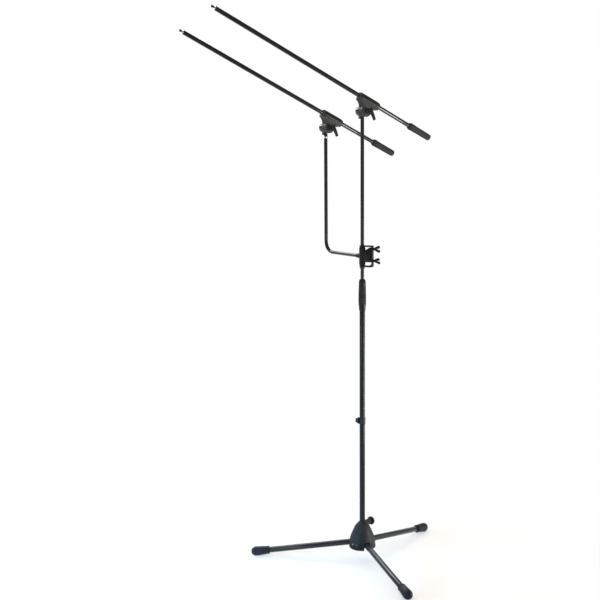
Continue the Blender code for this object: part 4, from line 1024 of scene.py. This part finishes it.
ribs = grown(gripRibs, knobRibs, knobNylon, knobAxis @ raised((knob["start"] + knobEnd) / 2))
addPiece(ribs, "clampKnobRibs", "base_knob", knobNylon, False)
shankRoot = knob["shank"] - knob["threadRise"]
shankProfile = [
    (0, knob["shankStart"]),
    (knob["shank"] - 1 * mm, knob["shankStart"]),
    (shankRoot, knob["shankStart"] + 1.2 * mm),
    (shankRoot, knob["start"] + knob["shankDepth"]),
    (0, knob["start"] + knob["shankDepth"]),
]
shankNode = "base_knob_screw"
addTurned("clampKnobShank", shankNode, zincPlate, shankProfile, 0.3 * mm, 32, knobAxis)
shankThread = {
    "Radius": shankRoot,
    "Pitch": knob["threadPitch"],
    "Turns": knob["threadTurns"],
    "Depth": knob["threadDepth"],
}
threadPlace = knobAxis @ raised(knob["shankStart"] + 2 * mm)
thread = grown(screwThread, shankThread, zincPlate, threadPlace)
addPiece(thread, "clampKnobThread", shankNode, zincPlate, False)
print("clamping knob is dressed")

# Column: the lower tube, and the upper one that slides in it
column = {
    "lowerRadius": 10 * mm,
    "lowerWall": 1.5 * mm,
    "lowerLow": 2 * mm,
    "lowerHigh": 935 * mm,
    "upperRadius": 6.5 * mm,
    "upperWall": 1.2 * mm,
    "upperLow": 745 * mm,
    "upperHigh": 1553 * mm,
}
for level, finish in (("lower", columnLacquer), ("upper", mastPaintedLightLacquer)):
    radius = column[level + "Radius"]
    bore = radius - column[level + "Wall"]
    tube = tubePiece(radius, bore, column[level + "Low"], column[level + "High"], 64)
    addPiece(tube, level + "Column", level + "_tube", finish)
dressNode("column_plug", knobNylon)
dressNode("guide_bush", clutchNylon)

# Height clutch: a fluted grip over its core and collet
clutch = {
    "low": 881 * mm,
    "length": 112.5 * mm,
    "radius": 13.85 * mm,
    "mouth": 10.3 * mm,
    "mouthDepth": 18 * mm,
    "bore": 11.7 * mm,
    "boreDepth": 50.6 * mm,
    "upperBore": 10.7 * mm,
    "throat": 6.9 * mm,
    "throatDepth": 14.7 * mm,
    "flutes": 10,
    "fluteDepth": 1.6 * mm,
    "fluteFloor": 11.95 * mm,
    "fluteFade": 0.07,
    "fluteEdge": 2.5,
    "lowest": 0.17,
    "highest": 0.87,
    "inside": 11.75 * mm,
    "finest": 2.5 * mm,
}


def clutchPiece(sizes):
    low, length, radius = sizes["low"], sizes["length"], sizes["radius"]
    high = low + length
    profile = [
        (sizes["mouth"], low),
        (11.1 * mm, low),
        (11.7 * mm, low + 1.2 * mm),
        (12.2 * mm, low + length * 0.115),
        (radius - 0.55 * mm, low + length * 0.196),
        (radius - 0.15 * mm, low + length * 0.28),
        (radius, low + length * 0.356),
        (radius - 0.1 * mm, low + length * 0.45),
        (radius - 0.35 * mm, low + length * 0.55),
        (radius - 0.7 * mm, low + length * 0.66),
        (12.85 * mm, low + length * 0.756),
        (12.45 * mm, low + length * 0.85),
        (12.3 * mm, high - 9 * mm),
        (11.5 * mm, high - 5 * mm),
        (9.7 * mm, high - 0.4 * mm),
        (9.2 * mm, high),
        (sizes["throat"], high),
        (sizes["throat"], high - sizes["throatDepth"]),
        (sizes["upperBore"], high - sizes["throatDepth"]),
        (sizes["upperBore"], low + sizes["boreDepth"]),
        (sizes["bore"], low + sizes["boreDepth"]),
        (sizes["bore"], low + sizes["mouthDepth"]),
        (sizes["mouth"], low + sizes["mouthDepth"]),
    ]

    def flutes(angle, height, across):
        if across < sizes["inside"]:
            return 0
        share = (height - low) / length
        rise = min(1, max(0, (share - sizes["lowest"]) / sizes["fluteFade"]))
        fall = min(1, max(0, (sizes["highest"] - share) / sizes["fluteFade"]))
        window = min(rise * rise * (3 - 2 * rise), fall * fall * (3 - 2 * fall))
        wave = 0.5 - 0.5 * math.cos(sizes["flutes"] * angle)
        depth = min(sizes["fluteDepth"], across - sizes["fluteFloor"])
        return -depth * window * wave ** sizes["fluteEdge"]

    soft = softened(profile, 0.8 * mm, closed=True)
    fine = divided(soft, sizes["finest"], sizes["inside"], closed=True)
    return lathe(fine, 120, closed=True, relief=flutes)


addPiece(clutchPiece(clutch), "clutchGrip", "clutch_grip", clutchNylon)
dressNode("clutch_core", clutchNylon)
dressNode("clutch_collet", clutchNylon)

# Cable clip on the lower tube
clip = {"edge": 0.35 * mm}
addRounded("cableHook", "cable_clip", knobNylon, clip["edge"])
print("column, clutch and clip are dressed")

# Arm bracket: bent strip, liner, jaw, sleeve and wing screws
bracket = {
    "stripEdge": 0.5 * mm,
    "linerEdge": 0.25 * mm,
    "jawEdge": 0.8 * mm,
    "sleeveEdge": 0.8 * mm,
    "wingEdge": 0.7 * mm,
}
addRounded("armBracket", "arm_yoke", bracketPaint, bracket["stripEdge"])
addRounded("armLiner", "arm_liner", knobNylon, bracket["linerEdge"])
addRounded("armJaw", "arm_jaw", sleeveNylon, bracket["jawEdge"])
addRounded("armSleeve", "arm_sleeve", sleeveNylon, bracket["sleeveEdge"])
for number in (1, 2):
    wing = f"wing_screw_{number}"
    addRounded(f"wingScrew{number}", wing, bracketPaint, bracket["wingEdge"], 3)

# Side arm: one bent tube with a nickel ring on its upper end
sideArm = {
    "height": 1076 * mm,
    "spread": 214 * mm,
    "start": 14.3 * mm,
    "top": 1489.1 * mm,
    "bend": 39 * mm,
    "radius": 6.5 * mm,
    "wall": 1.2 * mm,
    "ringRadius": 7.1 * mm,
    "ringLength": 6.6 * mm,
    "ringGroove": 0.4 * mm,
    "gap": 0.3 * mm,
}


def bentTube(sizes, sides=48, bendSteps=28):
    bend = sizes["bend"]
    centre = (-(sizes["spread"] - bend), sizes["height"] + bend)
    path = [(-sizes["start"], sizes["height"], 0)]
    for step in range(bendSteps + 1):
        angle = math.radians(90 * step / bendSteps)
        along = centre[0] - bend * math.sin(angle)
        path.append((along, centre[1] - bend * math.cos(angle), angle))
    path.append((-sizes["spread"], sizes["top"], math.radians(90)))
    shape = bmesh.new()
    walls = []
    for radius in (sizes["radius"], sizes["radius"] - sizes["wall"]):
        rows = []
        for along, height, angle in path:
            across = Vector((0, math.sin(angle), math.cos(angle)))
            row = []
            for side in range(sides):
                turn = math.tau * side / sides
                offset = across * radius * math.cos(turn) + Vector((radius * math.sin(turn), 0, 0))
                row.append(shape.verts.new(Vector((0, along, height)) + offset))
            rows.append(row)
        walls.append(rows)
    strips = [pair for rows in walls for pair in zip(rows, rows[1:])]
    strips += [(walls[0][0], walls[1][0]), (walls[0][-1], walls[1][-1])]
    for low, high in strips:
        for side in range(sides):
            beside = (side + 1) % sides
            shape.faces.new((low[side], low[beside], high[beside], high[side]))
    return finished(shape)


addPiece(bentTube(sideArm), "bentArm", "arm_tube", armPaintedLightLacquer)
ringLow = sideArm["top"] + sideArm["gap"]
ringHigh = ringLow + sideArm["ringLength"]
armBore = sideArm["radius"] - sideArm["wall"]
ringProfile = [
    (armBore, ringLow),
    (sideArm["ringRadius"], ringLow),
    (sideArm["ringRadius"], ringLow + 2.6 * mm),
    (sideArm["ringRadius"] - sideArm["ringGroove"], ringLow + 3 * mm),
    (sideArm["ringRadius"] - sideArm["ringGroove"], ringLow + 3.6 * mm),
    (sideArm["ringRadius"], ringLow + 4 * mm),
    (sideArm["ringRadius"], ringHigh),
    (armBore, ringHigh),
]
ringPlace = Matrix.Translation((0, -sideArm["spread"], 0))
addTurned(
    "armRing", "arm_lock_ring", nickelPlate, ringProfile, 0.5 * mm, 64, ringPlace, closed=True
)
print("bracket and side arm are dressed")

# Boom heads: a swivel with a domed bolt, two clamp shells and a lever
head = {
    "heights": {"a": 1585.5 * mm, "b": 1528.5 * mm},
    "sides": {"a": 0.0, "b": -sideArm["spread"]},
    "shellEdge": 0.9 * mm,
    "swivelEdge": 0.8 * mm,
    "leverEdge": 0.9 * mm,
    "capRadius": 14 * mm,
    "capHeight": 5.7 * mm,
    "capRim": 0.6 * mm,
    "capFoot": -18.3 * mm,
    "boltRadius": 3 * mm,
    "boltEnd": 40 * mm,
    "boltBevel": 0.6 * mm,
    "nutRadius": 4.9 * mm,
    "nutLow": 40.35 * mm,
    "nutHigh": 42.5 * mm,
}
# Booms, each with a threaded stud in front and a rubber grip behind
boom = {
    "offset": 37 * mm,
    "plane": 15 * mm,
    "slides": {"a": 0.0, "b": -8.2 * mm},
    "radius": 7.5 * mm,
    "wall": 1.2 * mm,
    "front": 678.3 * mm,
    "rear": 299.9 * mm,
    "gap": 0.3 * mm,
    "gripLength": 110 * mm,
    "gripShoulder": 12.75 * mm,
    "gripRadius": 11.5 * mm,
    "gripMouth": 9.2 * mm,
    "gripWall": 11.7 * mm,
    "rings": 3,
    "ringSpacing": 2.2 * mm,
    "ringSink": 0.35 * mm,
    "ringThickness": 0.55 * mm,
    "ringBack": 14 * mm,
    "spigot": 20 * mm,
    "shoulderRadius": 8.2 * mm,
    "shoulder": 1.5 * mm,
    "plated": 5 * mm,
    "studLength": 11 * mm,
    "studRadius": 4.75 * mm,
    "studBore": 3.1 * mm,
    "studBoreDepth": 5 * mm,
    "threadPitch": 1.59 * mm,
    "threadRise": 0.4 * mm,
    "threadDepth": 0.42 * mm,
    "threadStart": 1.1 * mm,
}


def capProfile(sizes, steps=8):
    foot, radius = sizes["capFoot"], sizes["capRadius"]
    dome = [(0, foot - sizes["capHeight"])]
    for step in range(1, steps + 1):
        t = step / steps
        turn = t * math.pi / 2
        height = foot - sizes["capHeight"] * math.cos(turn) - sizes["capRim"] * t
        dome.append((radius * math.sin(turn), height))
    return dome + [
        (radius, foot),
        (sizes["boltRadius"], foot),
        (sizes["boltRadius"], sizes["boltEnd"] - sizes["boltBevel"]),
        (sizes["boltRadius"] - sizes["boltBevel"], sizes["boltEnd"]),
        (0, sizes["boltEnd"]),
    ]


def nutProfile(sizes):
    return [
        (0, sizes["nutLow"]),
        (sizes["nutRadius"], sizes["nutLow"]),
        (sizes["nutRadius"], sizes["nutHigh"] - 0.4 * mm),
        (sizes["nutRadius"] - 0.7 * mm, sizes["nutHigh"]),
        (0, sizes["nutHigh"]),
    ]


def gripProfile(sizes):
    rear = -sizes["rear"] - sizes["gripWall"] - sizes["gap"]
    front = rear + sizes["gripLength"]
    bore = sizes["radius"] + sizes["gap"]
    return [
        (0, rear),
        (sizes["gripRadius"] * 0.5, rear),
        (sizes["gripRadius"] * 0.87, rear + 1.6 * mm),
        (sizes["gripRadius"] - 0.2 * mm, rear + 5 * mm),
        (sizes["gripRadius"], rear + 9 * mm),
        (sizes["gripRadius"] + 0.3 * mm, rear + sizes["gripLength"] * 0.6),
        (sizes["gripShoulder"] - 0.2 * mm, front - 12 * mm),
        (sizes["gripShoulder"], front - 8 * mm),
        (sizes["gripShoulder"] - 0.8 * mm, front - 5.5 * mm),
        (sizes["gripMouth"], front),
        (bore, front),
        (bore, rear + sizes["gripWall"]),
        (0, rear + sizes["gripWall"]),
    ]


# The stud's shoulder and root are plated, and its tip is bare
def shoulderProfile(sizes):
    foot = sizes["front"] + sizes["gap"]
    spigot = sizes["radius"] - sizes["wall"] - sizes["gap"]
    root = sizes["studRadius"] - sizes["threadRise"]
    return [
        (0, foot - sizes["spigot"]),
        (spigot, foot - sizes["spigot"]),
        (spigot, foot),
        (sizes["shoulderRadius"], foot),
        (sizes["shoulderRadius"], foot + sizes["shoulder"]),
        (root, foot + sizes["shoulder"]),
        (root, foot + sizes["shoulder"] + sizes["plated"]),
        (0, foot + sizes["shoulder"] + sizes["plated"]),
    ]


def studProfile(sizes):
    start = sizes["front"] + sizes["gap"] + sizes["shoulder"] + sizes["plated"]
    end = start - sizes["plated"] + sizes["studLength"]
    root = sizes["studRadius"] - sizes["threadRise"]
    return [
        (0, start),
        (root, start),
        (root, end - 0.8 * mm),
        (root - 0.4 * mm, end),
        (sizes["studBore"], end),
        (sizes["studBore"], end - sizes["studBoreDepth"]),
        (0, end - sizes["studBoreDepth"]),
    ]


def addHead(letter, pivot):
    across = pivot @ turnY
    swivel = f"swivel_base_{letter}"
    addRounded(f"headSwivel_{letter}", swivel, swivelPaint, head["swivelEdge"], 3)
    bolt = (f"headBolt_{letter}", f"pivot_bolt_{letter}", armPaintedLightLacquer)
    addTurned(*bolt, capProfile(head), 0.5 * mm, 64, across)
    dressNode(f"friction_washer_{letter}", knobNylon)
    for half in ("inner", "outer"):
        shell = f"boom_clamp_{half}_{letter}"
        addRounded(f"clampShell_{half}_{letter}", shell, clampNylon, head["shellEdge"], 3)
    lever = f"clamp_lever_{letter}"
    addRounded(f"clampLever_{letter}", lever, leverNylon, head["leverEdge"], 3)
    addPiece(lathe(nutProfile(head), 6, across), f"leverNut_{letter}", lever, zincPlate, False)


def addBoom(letter, axis):
    radius = boom["radius"]
    rod = tubePiece(radius, radius - boom["wall"], -boom["rear"], boom["front"], 64, axis)
    addPiece(rod, f"boomRod_{letter}", f"boom_tube_{letter}", boomLacquer)
    gripNode = f"boom_grip_{letter}"
    grip = (f"boomGrip_{letter}", gripNode, gripRubber)
    addTurned(*grip, gripProfile(boom), 1.2 * mm, 64, axis)
    studNode = f"mic_stud_{letter}"
    shoulder = (f"micStudShoulder_{letter}", studNode, nickelPlate)
    addTurned(*shoulder, shoulderProfile(boom), 0.25 * mm, 64, axis)
    stud = (f"micStud_{letter}", studNode, studSteel)
    addTurned(*stud, studProfile(boom), 0.25 * mm, 48, axis, replacing=False)
    start = boom["front"] + boom["shoulder"] + boom["threadStart"]
    for ending, turns, finish in (("Root", 2.5, nickelPlate), ("Tip", 3.1, studSteel)):
        studThread = {
            "Radius": boom["studRadius"] - boom["threadRise"],
            "Pitch": boom["threadPitch"],
            "Turns": turns,
            "Depth": boom["threadDepth"],
        }
        mesh = grown(screwThread, studThread, finish, axis @ raised(start))
        addPiece(mesh, f"micStudThread{ending}_{letter}", studNode, finish, False)
        start += turns * boom["threadPitch"]
    gripRings = {
        "Rings": boom["rings"],
        "Spacing": boom["ringSpacing"],
        "Radius": boom["gripShoulder"] - boom["ringSink"],
        "Thickness": boom["ringThickness"],
    }
    start = -boom["rear"] - boom["gripWall"] + boom["gripLength"] - boom["ringBack"]
    mesh = grown(mouldedRings, gripRings, gripRubber, axis @ raised(start))
    addPiece(mesh, f"boomGripRings_{letter}", gripNode, gripRubber, False)


for letter in ("a", "b"):
    pivot = Matrix.Translation((0, head["sides"][letter], head["heights"][letter]))
    addHead(letter, pivot)
    tilt = Matrix.Rotation(math.radians(-boomElevation), 4, "Y")
    middle = Matrix.Translation((boom["slides"][letter], boom["plane"], boom["offset"]))
    addBoom(letter, pivot @ tilt @ middle @ turnX)
print("heads and booms are dressed")
